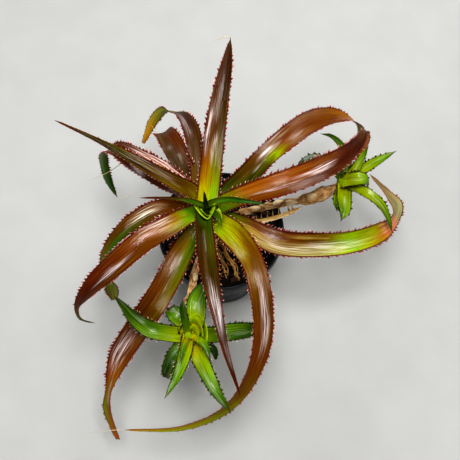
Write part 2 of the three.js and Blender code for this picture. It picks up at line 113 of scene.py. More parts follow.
class Route:
    """A smooth curve through fixed points, measured along its length."""

    DIVISIONS = 200
    NUDGE = 1e-4
    SPAN_POWER = 0.5

    def __init__(self, points: Sequence[Vector], even: bool = False) -> None:
        """Measures the curve.

        Args:
            points: The points that the curve passes through.
            even: Whether every span takes the same share, instead of a share by its size.
        """
        self.points = [Vector(point) for point in points]
        self.even = even
        self.reached = [0.0]
        last = self.at(0.0)
        for step in range(1, self.DIVISIONS + 1):
            here = self.at(step / self.DIVISIONS)
            self.reached.append(self.reached[-1] + (here - last).length)
            last = here

    @property
    def length(self) -> float:
        """The curve's whole length."""
        return self.reached[-1]

    def at(self, knot: float) -> Vector:
        """Gives the point at a share of the spans.

        Args:
            knot: Share of the spans, from 0 to 1.

        Returns:
            The point.
        """
        last = len(self.points) - 1
        index = min(int(last * knot), last - 1)
        weight = last * knot - index
        here, there = self.points[index], self.points[index + 1]
        before = self.points[index - 1] if index > 0 else here * 2 - there
        after = self.points[index + 2] if index + 2 <= last else there * 2 - here
        if self.even:
            start, end = (there - before) * 0.5, (after - here) * 0.5
        else:
            steps = (here - before, there - here, after - there)
            first, middle, final = (max(step.length, LEAST_GAP) ** self.SPAN_POWER for step in steps)
            start = steps[0] / first - (there - before) / (first + middle) + steps[1] / middle
            end = steps[1] / middle - (after - here) / (middle + final) + steps[2] / final
            start, end = start * middle, end * middle
        square = (there - here) * 3 - start * 2 - end
        cube = (here - there) * 2 + start + end
        return here + start * weight + square * weight**2 + cube * weight**3

    def knot(self, share: float) -> float:
        """Turns a share of the length into a share of the spans.

        Args:
            share: Share of the length, from 0 to 1.

        Returns:
            Share of the spans.
        """
        wanted = share * self.length
        low = min(max(bisect.bisect_right(self.reached, wanted) - 1, 0), self.DIVISIONS - 1)
        step = self.reached[low + 1] - self.reached[low]
        return (low + (wanted - self.reached[low]) / max(step, LEAST_GAP)) / self.DIVISIONS

    def place(self, share: float) -> Vector:
        """Gives the point at a share of the length."""
        return self.at(self.knot(share))

    def heading(self, share: float) -> Vector:
        """Gives the direction of travel at a share of the length."""
        knot = self.knot(share)
        return (self.at(min(knot + self.NUDGE, 1)) - self.at(max(knot - self.NUDGE, 0))).normalized()


@dataclass
class Station:
    """One cross-section of a blade: its middle, directions, half width, margin rise and rib thickness."""

    centre: Vector
    along: Vector
    side: Vector
    face: Vector
    half: float
    rise: float
    rib: float


@dataclass
class Blade:
    """A gutter-shaped leaf blade. A row has out, height, aside, width and, for a twist, roll in degrees."""

    start: Vector
    origin: Vector
    heading: float
    rows: Sequence[Row]
    fold: float
    cup: float = 16.0
    cup_reach: float = 14.0
    margin: float = 0.75
    full_rib: float = 1.9
    full_width: float = 16.0
    roundness: float = 1.55
    taper: float = 6.0
    point: float = 0.15
    ruffle: float = 0.35
    ruffle_pitch: float = 11.0
    narrowest: float = 1.2
    pointed_below: float = 2.0
    thinnest: float = 0.4
    swell_power: float = 0.6
    ruffle_half: float = 5.0
    ruffle_across: float = 3.0
    steps: int = 200
    fewest_rows: int = 8
    stations: list[Station] = field(init=False, default_factory=list)
    length: float = field(init=False)
    width: float = field(init=False)

    def __post_init__(self) -> None:
        """Lays the cross-sections along the route."""
        turn = math.radians(self.heading)
        along = Vector((math.cos(turn), math.sin(turn), 0.0))
        across = UP.cross(along)
        points = [
            self.origin + along * out + across * aside + UP * height for out, height, aside, *_ in self.rows
        ]
        route = Route([self.start, *points])
        shapes = [Vector((*row, 0.0)[3:5]).to_3d() for row in self.rows]
        shape = Route([shapes[0], *shapes], even=True)
        self.length = route.length
        self.width = max(row[3] for row in self.rows)
        pointed = self.rows[-1][3] < self.pointed_below
        level = across.copy()
        for step in range(self.steps + 1):
            share = step / self.steps
            tangent = route.heading(share)
            level = (level - tangent * level.dot(tangent)).normalized()
            width, roll, _ = shape.at(route.knot(share))
            side = Matrix.Rotation(math.radians(roll), 3, tangent) @ level
            width = max(width, self.narrowest)
            tilt = math.radians(self.fold + self.cup * math.exp(-share * self.length / self.cup_reach))
            rise = width / 2 * math.tan(tilt)
            left = (1 - share) * self.length
            slim = 1.0 if not pointed else min(1.0, self.point + (1 - self.point) * left / self.taper)
            rib = self.margin + (self.full_rib - self.margin) * min(1.0, width / self.full_width)
            half, rise, rib = width / 2 * slim, rise * slim, rib * max(slim, self.thinnest)
            face = tangent.cross(side)
            self.stations.append(Station(route.place(share), tangent, side, face, half, rise, rib))

    def station(self, share: float) -> Station:
        """Gives the cross-section at a share of the length.

        Args:
            share: Share of the length, from 0 to 1.

        Returns:
            The cross-section, between the two nearest laid ones.
        """
        low = min(int(share * self.steps), self.steps - 1)
        part = share * self.steps - low
        first, second = self.stations[low], self.stations[low + 1]
        return Station(
            first.centre.lerp(second.centre, part),
            first.along.lerp(second.along, part).normalized(),
            first.side.lerp(second.side, part).normalized(),
            first.face.lerp(second.face, part).normalized(),
            first.half + (second.half - first.half) * part,
            first.rise + (second.rise - first.rise) * part,
            first.rib + (second.rib - first.rib) * part,
        )

    def surface(self, cosine: float, sine: float, share: float) -> Vector:
        """Gives a point of the blade's skin.

        Args:
            cosine: Place across the blade, from -1 at the right margin to 1 at the left one.
            sine: Above 0 on the upper face and below 0 on the lower one.
            share: Share of the length.

        Returns:
            The point in millimetres.
        """
        station = self.station(share)
        off = abs(cosine)
        edge = min(self.margin, station.rib)
        thick = station.rib + (edge - station.rib) * off
        swell = math.copysign(abs(sine) ** self.swell_power, sine) * thick / 2
        wave = self.ruffle * min(1.0, station.half / self.ruffle_half) * off**3
        along = share * self.length / self.ruffle_pitch
        wave *= noise.noise(Vector((along, cosine * self.ruffle_across, self.heading)))
        lift = station.rise * off**self.roundness + swell + wave
        return station.centre + station.side * (station.half * cosine) + station.face * lift

    def skin(self, bm: bmesh.types.BMesh, sides: int = 28, row: float = 1.9, tone: float = 0.0) -> None:
        """Adds the blade's closed skin.

        Args:
            bm: The mesh, in millimetres.
            sides: Faces round the section.
            row: Length of a face along the blade.
            tone: Value that tells this blade from its neighbours.
        """
        rows = max(self.fewest_rows, round(self.length / row))
        add_tube(bm, sides, rows, self.surface, (self.width, self.length), Wrap.BLADE, tone)


@dataclass
class Bar:
    """A round bar along a route, with rows of share and radius."""

    points: Sequence[Row]
    profile: Profile
    knobble: float = 0.06
    grain: float = 6.0
    coarse_reach: float = 3.0
    fine_grain: float = 1.7
    fine_share: float = 0.5
    upright_below: float = 0.5
    fewest_rows: int = 6
    route: Route = field(init=False)

    def __post_init__(self) -> None:
        """Measures the route."""
        self.route = Route([Vector(point) for point in self.points])

    def radius(self, share: float) -> float:
        """Gives the radius at a share of the length.

        Args:
            share: Share of the length.

        Returns:
            The radius in millimetres.
        """
        for (low, small), (high, large) in zip(self.profile, self.profile[1:]):
            if share <= high:
                return small + (large - small) * (share - low) / (high - low)
        return self.profile[-1][1]

    def surface(self, cosine: float, sine: float, share: float) -> Vector:
        """Gives a point of the bar's skin.

        Args:
            cosine: Cosine of the angle round the bar.
            sine: Sine of the angle round the bar.
            share: Share of the length.

        Returns:
            The point in millimetres.
        """
        tangent = self.route.heading(share)
        across = UP.cross(self.route.heading(0.0))
        if across.length < self.upright_below:
            across = Vector((1.0, 0.0, 0.0))
        side = (across - tangent * across.dot(tangent)).normalized()
        outward = side * cosine + tangent.cross(side) * sine
        middle = self.route.place(share)
        lump = noise.noise((middle + outward * self.coarse_reach) / self.grain)
        lump += self.fine_share * noise.noise((middle + outward) / self.fine_grain)
        return middle + outward * (self.radius(share) * (1.0 + self.knobble * lump))

    def skin(
        self, bm: bmesh.types.BMesh, sides: int = 14, row: float = 1.2, tone: float = 0.0, finish: int = 0
    ) -> None:
        """Adds the bar's closed skin.

        Args:
            bm: The mesh, in millimetres.
            sides: Faces round the bar.
            row: Length of a face along the bar.
            tone: Value that tells this bar from its neighbours.
            finish: Index of the bar's finish.
        """
        rows = max(self.fewest_rows, round(self.route.length / row))
        girth = math.pi * max(radius for _, radius in self.profile)
        add_tube(bm, sides, rows, self.surface, (girth, self.route.length), Wrap.BAR, tone, finish)


# Mesh building


def new_mesh() -> bmesh.types.BMesh:
    """Starts a mesh with the maps and values that the finishes read.

    Returns:
        The empty mesh.
    """
    bm = bmesh.new()
    bm.loops.layers.uv.new(SHARE_MAP)
    bm.loops.layers.uv.new(METRIC_MAP)
    bm.verts.layers.float.new(UNDER)
    bm.verts.layers.float.new(TONE)
    return bm


def upright_edges(bm: bmesh.types.BMesh) -> list[bmesh.types.BMEdge]:
    """Gives the edges that run from the foot to the head of a cone one unit high."""
    return [edge for edge in bm.edges if abs(edge.verts[0].co.z - edge.verts[1].co.z) > 0.5]


def use_up(bm: bmesh.types.BMesh, name: str) -> bpy.types.Mesh:
    """Turns an editable mesh into a finished one.

    Args:
        bm: The editable mesh, which is used up.
        name: The finished mesh's name.

    Returns:
        The finished mesh.
    """
    mesh = bpy.data.meshes.new(name)
    bm.to_mesh(mesh)
    bm.free()
    return mesh


def add_tube(
    bm: bmesh.types.BMesh,
    sides: int,
    rows: int,
    place: Place,
    spread: Range,
    wrap: Wrap,
    tone: float = 0.0,
    finish: int = 0,
) -> None:
    """Adds a closed tube and bends it.

    Args:
        bm: The mesh, in millimetres.
        sides: Faces round the tube.
        rows: Faces along the tube.
        place: Gives a corner's point from its cosine, sine and share of the length.
        spread: Width and length of the surface in millimetres, for its grain.
        wrap: How the pattern is laid round the tube.
        tone: Value that tells this tube from its neighbours.
        finish: Index of the tube's finish.
    """
    tube = new_mesh()
    bmesh.ops.create_cone(tube, cap_ends=True, segments=sides, radius1=1.0, radius2=1.0, depth=1.0)
    bmesh.ops.subdivide_edges(tube, edges=upright_edges(tube), cuts=rows - 1)
    share_map, metric_map = tube.loops.layers.uv[SHARE_MAP], tube.loops.layers.uv[METRIC_MAP]
    under, tones = tube.verts.layers.float[UNDER], tube.verts.layers.float[TONE]
    for face in tube.faces:
        face.material_index = finish
        for loop in face.loops:
            cosine, _, height = loop.vert.co
            across = (cosine + 1) / 2
            if wrap is Wrap.BAR:
                across = math.acos(max(-1.0, min(1.0, cosine))) / math.pi
            share = height + 0.5
            loop[share_map].uv = (across, share)
            loop[metric_map].uv = (across * spread[0] * MM, share * spread[1] * MM)
    for vert in tube.verts:
        cosine, sine, height = vert.co
        vert[under] = min(1.0, max(0.0, 0.5 - UNDER_SLOPE * sine))
        vert[tones] = tone
        vert.co = place(cosine, sine, height + 0.5)
    merge(bm, tube)


def turned(profile: Profile, steps: int) -> bmesh.types.BMesh:
    """Turns a profile round the upright axis into a closed shape.

    Args:
        profile: Rows of radius and height, from the axis out and back to it.
        steps: Faces round the shape.

    Returns:
        The shape, with its faces outwards.
    """
    bm = new_mesh()
    verts = [bm.verts.new((radius, 0.0, height)) for radius, height in profile]
    edges = [bm.edges.new(pair) for pair in zip(verts, verts[1:])]
    bmesh.ops.spin(
        bm, geom=[*verts, *edges], cent=(0, 0, 0), axis=(0, 0, 1), dvec=(0, 0, 0), angle=2 * math.pi,
        steps=steps, use_merge=True,
    )
    bmesh.ops.remove_doubles(bm, verts=bm.verts, dist=DOUBLE_GAP)
    bmesh.ops.recalc_face_normals(bm, faces=bm.faces)
    return bm


def merge(bm: bmesh.types.BMesh, part: bmesh.types.BMesh) -> None:
    """Adds a part to a mesh and uses the part up.

    Args:
        bm: The mesh, in millimetres, which only ever grows.
        part: The part's own mesh.
    """
    mesh = use_up(part, "part")
    bm.from_mesh(mesh)
    bpy.data.meshes.remove(mesh)


def add_copy(
    bm: bmesh.types.BMesh, template: bpy.types.Mesh, matrix: Matrix, finish: int = 0, tone: float = 0.0
) -> None:
    """Adds a placed copy of a small mesh, with its height as its share map.

    Args:
        bm: The mesh, in millimetres.
        template: A small mesh that stands from 0 to 1 in height.
        matrix: Where the copy goes.
        finish: Index of the copy's finish.
        tone: Value that tells this copy from its neighbours.
    """
    bm.from_mesh(template)
    bm.verts.ensure_lookup_table()
    verts = bm.verts[-len(template.vertices):]
    share_map, metric_map = bm.loops.layers.uv[SHARE_MAP], bm.loops.layers.uv[METRIC_MAP]
    tones = bm.verts.layers.float[TONE]
    for face in {face for vert in verts for face in vert.link_faces}:
        face.material_index = finish
        for loop in face.loops:
            loop[share_map].uv = (0.5, loop.vert.co.z)
            loop[metric_map].uv = (loop.vert.co.x * MM, loop.vert.co.z * MM)
    for vert in verts:
        vert[tones] = tone
        vert.co = matrix @ vert.co


def keep(
    bm: bmesh.types.BMesh, name: str, finishes: Sequence["Finish"], slot: Slot, *nodes: str
) -> bpy.types.Object:
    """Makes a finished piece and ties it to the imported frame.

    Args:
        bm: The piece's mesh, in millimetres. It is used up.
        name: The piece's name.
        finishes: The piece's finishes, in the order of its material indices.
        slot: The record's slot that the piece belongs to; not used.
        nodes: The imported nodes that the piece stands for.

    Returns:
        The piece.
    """
    bmesh.ops.scale(bm, vec=(MM, MM, MM), verts=bm.verts)
    for face in bm.faces:
        face.smooth = True
    mesh = use_up(bm, name)
    for finish in finishes:
        mesh.materials.append(finish.material())
    piece = bpy.data.objects.new(name, mesh)
    bpy.context.scene.collection.objects.link(piece)
    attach(piece, "root")
    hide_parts(*nodes)
    mesh.calc_loop_triangles()
    LOG.info("%s stands for %s: %d triangles", name, ", ".join(nodes), len(mesh.loop_triangles))
    return piece


# Finishes


def linear(colour: str) -> tuple[float, float, float, float]:
    """Turns an sRGB hex colour into a linear one.

    Args:
        colour: The colour, as a # and six hex digits.

    Returns:
        The linear red, green and blue, and a full alpha.
    """
    channels = []
    for at in (1, 3, 5):
        level = int(colour[at : at + 2], 16) / FULL_CHANNEL
        if level <= SRGB_KNEE:
            channels.append(level / SRGB_SLOPE)
        else:
            channels.append(((level + SRGB_LIFT) / (1 + SRGB_LIFT)) ** SRGB_POWER)
    return (*channels, 1.0)


def add_node(
    tree: bpy.types.NodeTree,
    kind: str,
    settings: dict[str, object] | None = None,
    values: dict[int | str, object] | None = None,
    links: dict[int | str, bpy.types.NodeSocket] | None = None,
    stops: Stops = (),
) -> bpy.types.Node:
    """Adds one node.

    Args:
        tree: The material's node tree.
        kind: The node's type.
        settings: Values of the node's own properties.
        values: Constants of its sockets.
        links: What feeds its sockets.
        stops: Places and colours of a colour ramp.

    Returns:
        The node.
    """
    node = tree.nodes.new(kind)
    for name, value in (settings or {}).items():
        setattr(node, name, value)
    for socket, value in (values or {}).items():
        node.inputs[socket].default_value = value
    for socket, source in (links or {}).items():
        tree.links.new(source, node.inputs[socket])
    for index, (place, colour) in enumerate(stops):
        elements = node.color_ramp.elements
        element = elements[index] if index < 2 else elements.new(place)
        element.position = place
        element.color = linear(colour)
    return node


@dataclass(frozen=True)
class Finish:
    """A surface finish. Its fields are the shader's constants."""

    name: str
    roughness: float = 0.5
    ior: float = 1.45

    def wire(self, tree: bpy.types.NodeTree, shader: bpy.types.Node) -> None:
        """Adds the finish's own nodes."""

    def material(self) -> bpy.types.Material:
        """Makes the material, or finds it where it is made already.

        Returns:
            The material.
        """
        known = bpy.data.materials.get(self.name)
        if known:
            return known
        material = bpy.data.materials.new(self.name)
        material.use_nodes = True
        tree = material.node_tree
        tree.nodes.clear()
        constants = {"Roughness": self.roughness, "IOR": self.ior}
        shader = add_node(tree, "ShaderNodeBsdfPrincipled", values=constants)
        add_node(tree, "ShaderNodeOutputMaterial", links={"Surface": shader.outputs[0]})
        self.wire(tree, shader)
        return material


@dataclass(frozen=True)
class HighlightPatch:
    """A streaky patch of painted highlight: middle and reach along the blade, the same across it, and
    strength.

    The core is the share of the reach that is at full strength.
    """

    along: float
    reach: float
    across: float
    spread: float
    strength: float = 0.6
    core: float = 0.25

    def cover(self, tree: bpy.types.NodeTree, share: bpy.types.NodeSocket) -> bpy.types.NodeSocket:
        """Adds the patch's cover.

        Args:
            tree: The material's node tree.
            share: The blade's share map.

        Returns:
            A value that is the strength in the middle and 0 outside the patch.
        """
        at = add_node(
            tree, "ShaderNodeMapping",
            values={
                "Scale": (1 / self.spread, 1 / self.reach, 0.0),
                "Location": (-self.across / self.spread, -self.along / self.reach, 0.0),
            },
            links={"Vector": share},
        )
        off = add_node(tree, "ShaderNodeVectorMath", {"operation": "LENGTH"}, links={0: at.outputs[0]})
        patch = add_node(
            tree, "ShaderNodeMapRange", {"interpolation_type": "SMOOTHSTEP"},
            {FROM_MIN: self.core, FROM_MAX: 1.0, TO_MIN: self.strength, TO_MAX: 0.0},
            {0: off.outputs["Value"]},
        )
        return patch.outputs[0]


@dataclass(frozen=True)
class LeafCuticle(Finish):
    """Living bromeliad leaf, grown with parallel veins under a smooth waxy cuticle.

    The eye gets long fine stripes, a colour that runs from yellow-green to copper along the blade, a dark
    red margin, and streaked gloss, with painted highlights: pale streaks mixed into the colour over given
    patches. Each pitch is the spacing of a pattern across the blade and each run its length along it, in
    millimetres. Real veins stand closer, and are drawn as coarse as they need to show. Each cut is the range
    of a pattern's level over which something comes in, and each height is in millimetres. The seam is the
    share of the width over which the right side's colours meet the left's; the two sides differ partly in
    the leaf's own colour and partly as painted light and shade on the gutter's two halves.
    """

    roughness: float = 0.18
    left: Stops = ()
    right: Stops = ()
    under: Stops = ()
    shade: Stops = ()
    margin: str = "#5E160E"
    margin_share: float = 0.82
    margin_end: float = 0.99
    margin_strength: float = 0.9
    # Where the left and right ramps meet; they differ partly as painted light and shade on the gutter's two
    # halves
    seam: Range = (0.3, 0.72)
    line: str = "#B89A3C"
    line_cut: Range = (0.48, 0.74)
    line_strength: float = 0.3
    spot: str = "#3E1C0C"
    vein_pitch: float = 1.0
    vein_run: float = 26.0
    vein_height: float = 0.4
    vein_greys: Stops = ((0.32, "#D2C8BC"), (0.5, "#EEE8E2"), (0.66, "#FFFFFF"))
    band_pitch: float = 3.0
    band_run: float = 55.0
    band_height: float = 1.0
    band_place: Row = (3.1, 1.7, 0.0)
    drift_pitch: float = 7.0
    drift_run: float = 30.0
    drift_along: float = 0.08
    drift_across: float = 0.25
    spot_pitch: float = 1.1
    spot_run: float = 1.6
    spot_cut: Range = (0.66, 0.76)
    spot_strength: float = 0.45
    depth: float = 0.88
    saturation: float = 1.38
    contrast: float = 1.16
    warmth: float = 0.002
    # Painted highlights: pale streak patches mixed into the base colour, their colour, the cuts of their
    # streaks and fades, and the tone above which blades get fewer of them
    blooms: Sequence[HighlightPatch] = ()
    wax: str = "#EADCD8"
    wax_cut: Range = (0.44, 0.6)
    wax_least: float = 0.06
    fade_cut: Range = (0.62, 0.48)
    fade_least: float = 0.3
    highlight_tone: float = 1.2
    highlight_tone_least: float = 0.1
    gloss_cut: Range = (0.3, 0.7)
    gloss_spread: Range = (-0.07, 0.12)
    stretch: float = 0.6
    stretch_turn: float = 0.25
    specular: float = 0.3
    coat: float = 0.1
    coat_roughness: float = 0.13

    def wire(self, tree: bpy.types.NodeTree, shader: bpy.types.Node) -> None:
        """Adds the stripes, the colours along the blade and the streaked gloss.

        Args:
            tree: The material's node tree.
            shader: The material's shader.
        """
        share = add_node(tree, "ShaderNodeUVMap", {"uv_map": SHARE_MAP})
        metric = add_node(tree, "ShaderNodeUVMap", {"uv_map": METRIC_MAP})
        split = add_node(tree, "ShaderNodeSeparateXYZ", links={0: share.outputs[0]})
        drift_at = add_node(
            tree, "ShaderNodeMapping",
            values={"Scale": (1 / (self.drift_pitch * MM), 1 / (self.drift_run * MM), 1.0)},
            links={"Vector": metric.outputs[0]},
        )
        drift = add_node(
            tree, "ShaderNodeTexNoise", values={"Scale": 1.0, "Detail": 4.0, "Roughness": 0.6},
            links={"Vector": drift_at.outputs[0]},
        )
        shift = add_node(
            tree, "ShaderNodeMath", {"operation": "MULTIPLY_ADD"},
            {FACTOR: 2 * self.drift_along, ADDED: -self.drift_along},
            {0: drift.outputs["Fac"]},
        )
        along = add_node(
            tree, "ShaderNodeMath", {"operation": "ADD"}, links={0: split.outputs["Y"], 1: shift.outputs[0]}
        )
        swing = add_node(
            tree, "ShaderNodeMath", {"operation": "MULTIPLY_ADD"},
            {FACTOR: 2 * self.drift_across, ADDED: -self.drift_across},
            {0: drift.outputs["Fac"]},
        )
        across = add_node(
            tree, "ShaderNodeMath", {"operation": "ADD"}, links={0: split.outputs["X"], 1: swing.outputs[0]}
        )
        half = add_node(
            tree, "ShaderNodeMapRange", {"interpolation_type": "SMOOTHSTEP"},
            {FROM_MIN: self.seam[0], FROM_MAX: self.seam[1]},
            {0: across.outputs[0]},
        )
        left = add_node(tree, "ShaderNodeValToRGB", links={0: along.outputs[0]}, stops=self.left)
        right = add_node(
            tree, "ShaderNodeValToRGB", links={0: along.outputs[0]}, stops=self.right or self.left
        )
        top = add_node(
            tree, "ShaderNodeMix", {"data_type": "RGBA"},
            links={0: half.outputs[0], MIX_A: right.outputs[0], MIX_B: left.outputs[0]},
        )
        tone = add_node(tree, "ShaderNodeAttribute", {"attribute_name": TONE})
        if self.shade:
            dark = add_node(tree, "ShaderNodeValToRGB", links={0: along.outputs[0]}, stops=self.shade)
            top = add_node(
                tree, "ShaderNodeMix", {"data_type": "RGBA"},
                links={0: tone.outputs["Fac"], MIX_A: top.outputs[MIX_OUT], MIX_B: dark.outputs[0]},
            )
        below = add_node(
            tree, "ShaderNodeValToRGB", links={0: along.outputs[0]}, stops=self.under or self.left
        )
        under = add_node(tree, "ShaderNodeAttribute", {"attribute_name": UNDER})
        both = add_node(
            tree, "ShaderNodeMix", {"data_type": "RGBA"},
            links={0: under.outputs["Fac"], MIX_A: top.outputs[MIX_OUT], MIX_B: below.outputs[0]},
        )
        band_at = add_node(
            tree, "ShaderNodeMapping",
            values={
                "Scale": (1 / (self.band_pitch * MM), 1 / (self.band_run * MM), 1.0),
                "Location": self.band_place,
            },
            links={"Vector": metric.outputs[0]},
        )
        band = add_node(
            tree, "ShaderNodeTexNoise", values={"Scale": 1.0, "Detail": 5.0, "Roughness": 0.65},
            links={"Vector": band_at.outputs[0]},
        )
        band_cut = add_node(
            tree, "ShaderNodeMapRange",
            values={FROM_MIN: self.line_cut[0], FROM_MAX: self.line_cut[1], TO_MAX: self.line_strength},
            links={0: band.outputs["Fac"]},
        )
        lined = add_node(
            tree, "ShaderNodeMix", {"data_type": "RGBA"}, {MIX_B: linear(self.line)},
            {0: band_cut.outputs[0], MIX_A: both.outputs[MIX_OUT]},
        )
        vein_at = add_node(
            tree, "ShaderNodeMapping",
            values={"Scale": (1 / (self.vein_pitch * MM), 1 / (self.vein_run * MM), 1.0)},
            links={"Vector": metric.outputs[0]},
        )
        vein = add_node(
            tree, "ShaderNodeTexNoise", values={"Scale": 1.0, "Detail": 3.0, "Roughness": 0.55},
            links={"Vector": vein_at.outputs[0]},
        )
        vein_grey = add_node(
            tree, "ShaderNodeValToRGB", links={0: vein.outputs["Fac"]}, stops=self.vein_greys
        )
        veined = add_node(
            tree, "ShaderNodeMix", {"data_type": "RGBA", "blend_type": "MULTIPLY"}, {0: 1.0},
            {MIX_A: lined.outputs[MIX_OUT], MIX_B: vein_grey.outputs[0]},
        )
        centred = add_node(
            tree, "ShaderNodeMath", {"operation": "MULTIPLY_ADD"}, {FACTOR: 2.0, ADDED: -1.0},
            {0: split.outputs["X"]},
        )
        off = add_node(tree, "ShaderNodeMath", {"operation": "ABSOLUTE"}, links={0: centred.outputs[0]})
        edge = add_node(
            tree, "ShaderNodeMapRange", {"interpolation_type": "SMOOTHSTEP"},
            {FROM_MIN: self.margin_share, FROM_MAX: self.margin_end, TO_MAX: self.margin_strength},
            {0: off.outputs[0]},
        )
        edged = add_node(
            tree, "ShaderNodeMix", {"data_type": "RGBA"}, {MIX_B: linear(self.margin)},
            {0: edge.outputs[0], MIX_A: veined.outputs[MIX_OUT]},
        )
        spot_at = add_node(
            tree, "ShaderNodeMapping",
            values={"Scale": (1 / (self.spot_pitch * MM), 1 / (self.spot_run * MM), 1.0)},
            links={"Vector": metric.outputs[0]},
        )
        spot = add_node(
            tree, "ShaderNodeTexNoise", values={"Scale": 1.0, "Detail": 2.0},
            links={"Vector": spot_at.outputs[0]},
        )
        spot_cut = add_node(
            tree, "ShaderNodeMapRange",
            values={FROM_MIN: self.spot_cut[0], FROM_MAX: self.spot_cut[1], TO_MAX: self.spot_strength},
            links={0: spot.outputs["Fac"]},
        )
        spotted = add_node(
            tree, "ShaderNodeMix", {"data_type": "RGBA"}, {MIX_B: linear(self.spot)},
            {0: spot_cut.outputs[0], MIX_A: edged.outputs[MIX_OUT]},
        )
        gloss = add_node(
            tree, "ShaderNodeMapRange",
            values={
                FROM_MIN: self.gloss_cut[0], FROM_MAX: self.gloss_cut[1],
                TO_MIN: self.roughness + self.gloss_spread[0], TO_MAX: self.roughness + self.gloss_spread[1],
            },
            links={0: band.outputs["Fac"]},
        )
        grain = add_node(
            tree, "ShaderNodeBump", values={"Strength": 0.6, "Distance": self.vein_height * MM},
            links={"Height": vein.outputs["Fac"]},
        )
        ridge = add_node(
            tree, "ShaderNodeBump", values={"Strength": 0.7, "Distance": self.band_height * MM},
            links={"Height": band.outputs["Fac"], "Normal": grain.outputs[0]},
        )
        deep = add_node(
            tree, "ShaderNodeHueSaturation",
            values={"Hue": 0.5 + self.warmth, "Saturation": self.saturation, "Value": self.depth},
            links={"Color": spotted.outputs[MIX_OUT]},
        )
        rich = add_node(
            tree, "ShaderNodeGamma", values={"Gamma": self.contrast}, links={"Color": deep.outputs[0]}
        )
        colour = rich.outputs[0]
        # Painted highlights: pale streaks mixed into the colour over each patch, fewer on dark-toned blades
        if self.blooms:
            streak = add_node(
                tree, "ShaderNodeMapRange",
                values={
                    FROM_MIN: self.wax_cut[0], FROM_MAX: self.wax_cut[1], TO_MIN: self.wax_least, TO_MAX: 1.0
                },
                links={0: vein.outputs["Fac"]},
            )
            fade = add_node(
                tree, "ShaderNodeMapRange",
                values={
                    FROM_MIN: self.fade_cut[0], FROM_MAX: self.fade_cut[1], TO_MIN: self.fade_least,
                    TO_MAX: 1.0,
                },
                links={0: band.outputs["Fac"]},
            )
            highlight_by_tone = add_node(
                tree, "ShaderNodeMapRange",
                values={FROM_MIN: 0.0, FROM_MAX: self.highlight_tone, TO_MIN: 1.0, TO_MAX: self.highlight_tone_least},
                links={0: tone.outputs["Fac"]},
            )
            even = add_node(
                tree, "ShaderNodeMath", {"operation": "MULTIPLY"},
                links={0: streak.outputs[0], 1: fade.outputs[0]},
            )
            clear = add_node(
                tree, "ShaderNodeMath", {"operation": "MULTIPLY"},
                links={0: even.outputs[0], 1: highlight_by_tone.outputs[0]},
            )
            for bloom in self.blooms:
                cover = add_node(
                    tree, "ShaderNodeMath", {"operation": "MULTIPLY"},
                    links={0: bloom.cover(tree, share.outputs[0]), 1: clear.outputs[0]},
                )
                waxed = add_node(
                    tree, "ShaderNodeMix", {"data_type": "RGBA"}, {MIX_B: linear(self.wax)},
                    {0: cover.outputs[0], MIX_A: colour},
                )
                colour = waxed.outputs[MIX_OUT]
        tree.links.new(colour, shader.inputs["Base Color"])
        tree.links.new(gloss.outputs[0], shader.inputs["Roughness"])
        tree.links.new(ridge.outputs[0], shader.inputs["Normal"])
        grown = add_node(tree, "ShaderNodeTangent", {"direction_type": "UV_MAP", "uv_map": METRIC_MAP})
        tree.links.new(grown.outputs[0], shader.inputs["Tangent"])
        shader.inputs["Anisotropic"].default_value = self.stretch
        shader.inputs["Anisotropic Rotation"].default_value = self.stretch_turn
        shader.inputs["Specular IOR Level"].default_value = self.specular
        shader.inputs["Coat Weight"].default_value = self.coat
        shader.inputs["Coat Roughness"].default_value = self.coat_roughness


@dataclass(frozen=True)
class ThornHorn(Finish):
    """Leaf thorn, grown as hard smooth horn. The eye gets a dark red root that pales to pink cream.

    The mottle's size and height are in millimetres, and its lift is the least and most it adds to the ramp.
    """

    roughness: float = 0.34
    stops: Stops = ((0.05, "#5A130C"), (0.5, "#8E3020"), (0.9, "#F0CCB6"))
    mottle: float = 3.0
    mottle_height: float = 0.1
    lift: Range = (-0.9, 0.7)

    def wire(self, tree: bpy.types.NodeTree, shader: bpy.types.Node) -> None:
        """Adds the colours from the thorn's root to its tip.

        Args:
            tree: The material's node tree.
            shader: The material's shader.
        """
        share = add_node(tree, "ShaderNodeUVMap", {"uv_map": SHARE_MAP})
        split = add_node(tree, "ShaderNodeSeparateXYZ", links={0: share.outputs[0]})
        where = add_node(tree, "ShaderNodeTexCoord")
        mottle = add_node(
            tree, "ShaderNodeTexNoise", values={"Scale": 1 / (self.mottle * MM), "Detail": 2.0},
            links={"Vector": where.outputs["Object"]},
        )
        shift = add_node(
            tree, "ShaderNodeMath", {"operation": "MULTIPLY_ADD"},
            {FACTOR: self.lift[1] - self.lift[0], ADDED: self.lift[0]},
            {0: mottle.outputs["Fac"]},
        )
        height = add_node(
            tree, "ShaderNodeMath", {"operation": "ADD"}, links={0: split.outputs["Y"], 1: shift.outputs[0]}
        )
        ramp = add_node(tree, "ShaderNodeValToRGB", links={0: height.outputs[0]}, stops=self.stops)
        bump = add_node(
            tree, "ShaderNodeBump", values={"Strength": 0.3, "Distance": self.mottle_height * MM},
            links={"Height": mottle.outputs["Fac"]},
        )
        tree.links.new(ramp.outputs[0], shader.inputs["Base Color"])
        tree.links.new(bump.outputs[0], shader.inputs["Normal"])


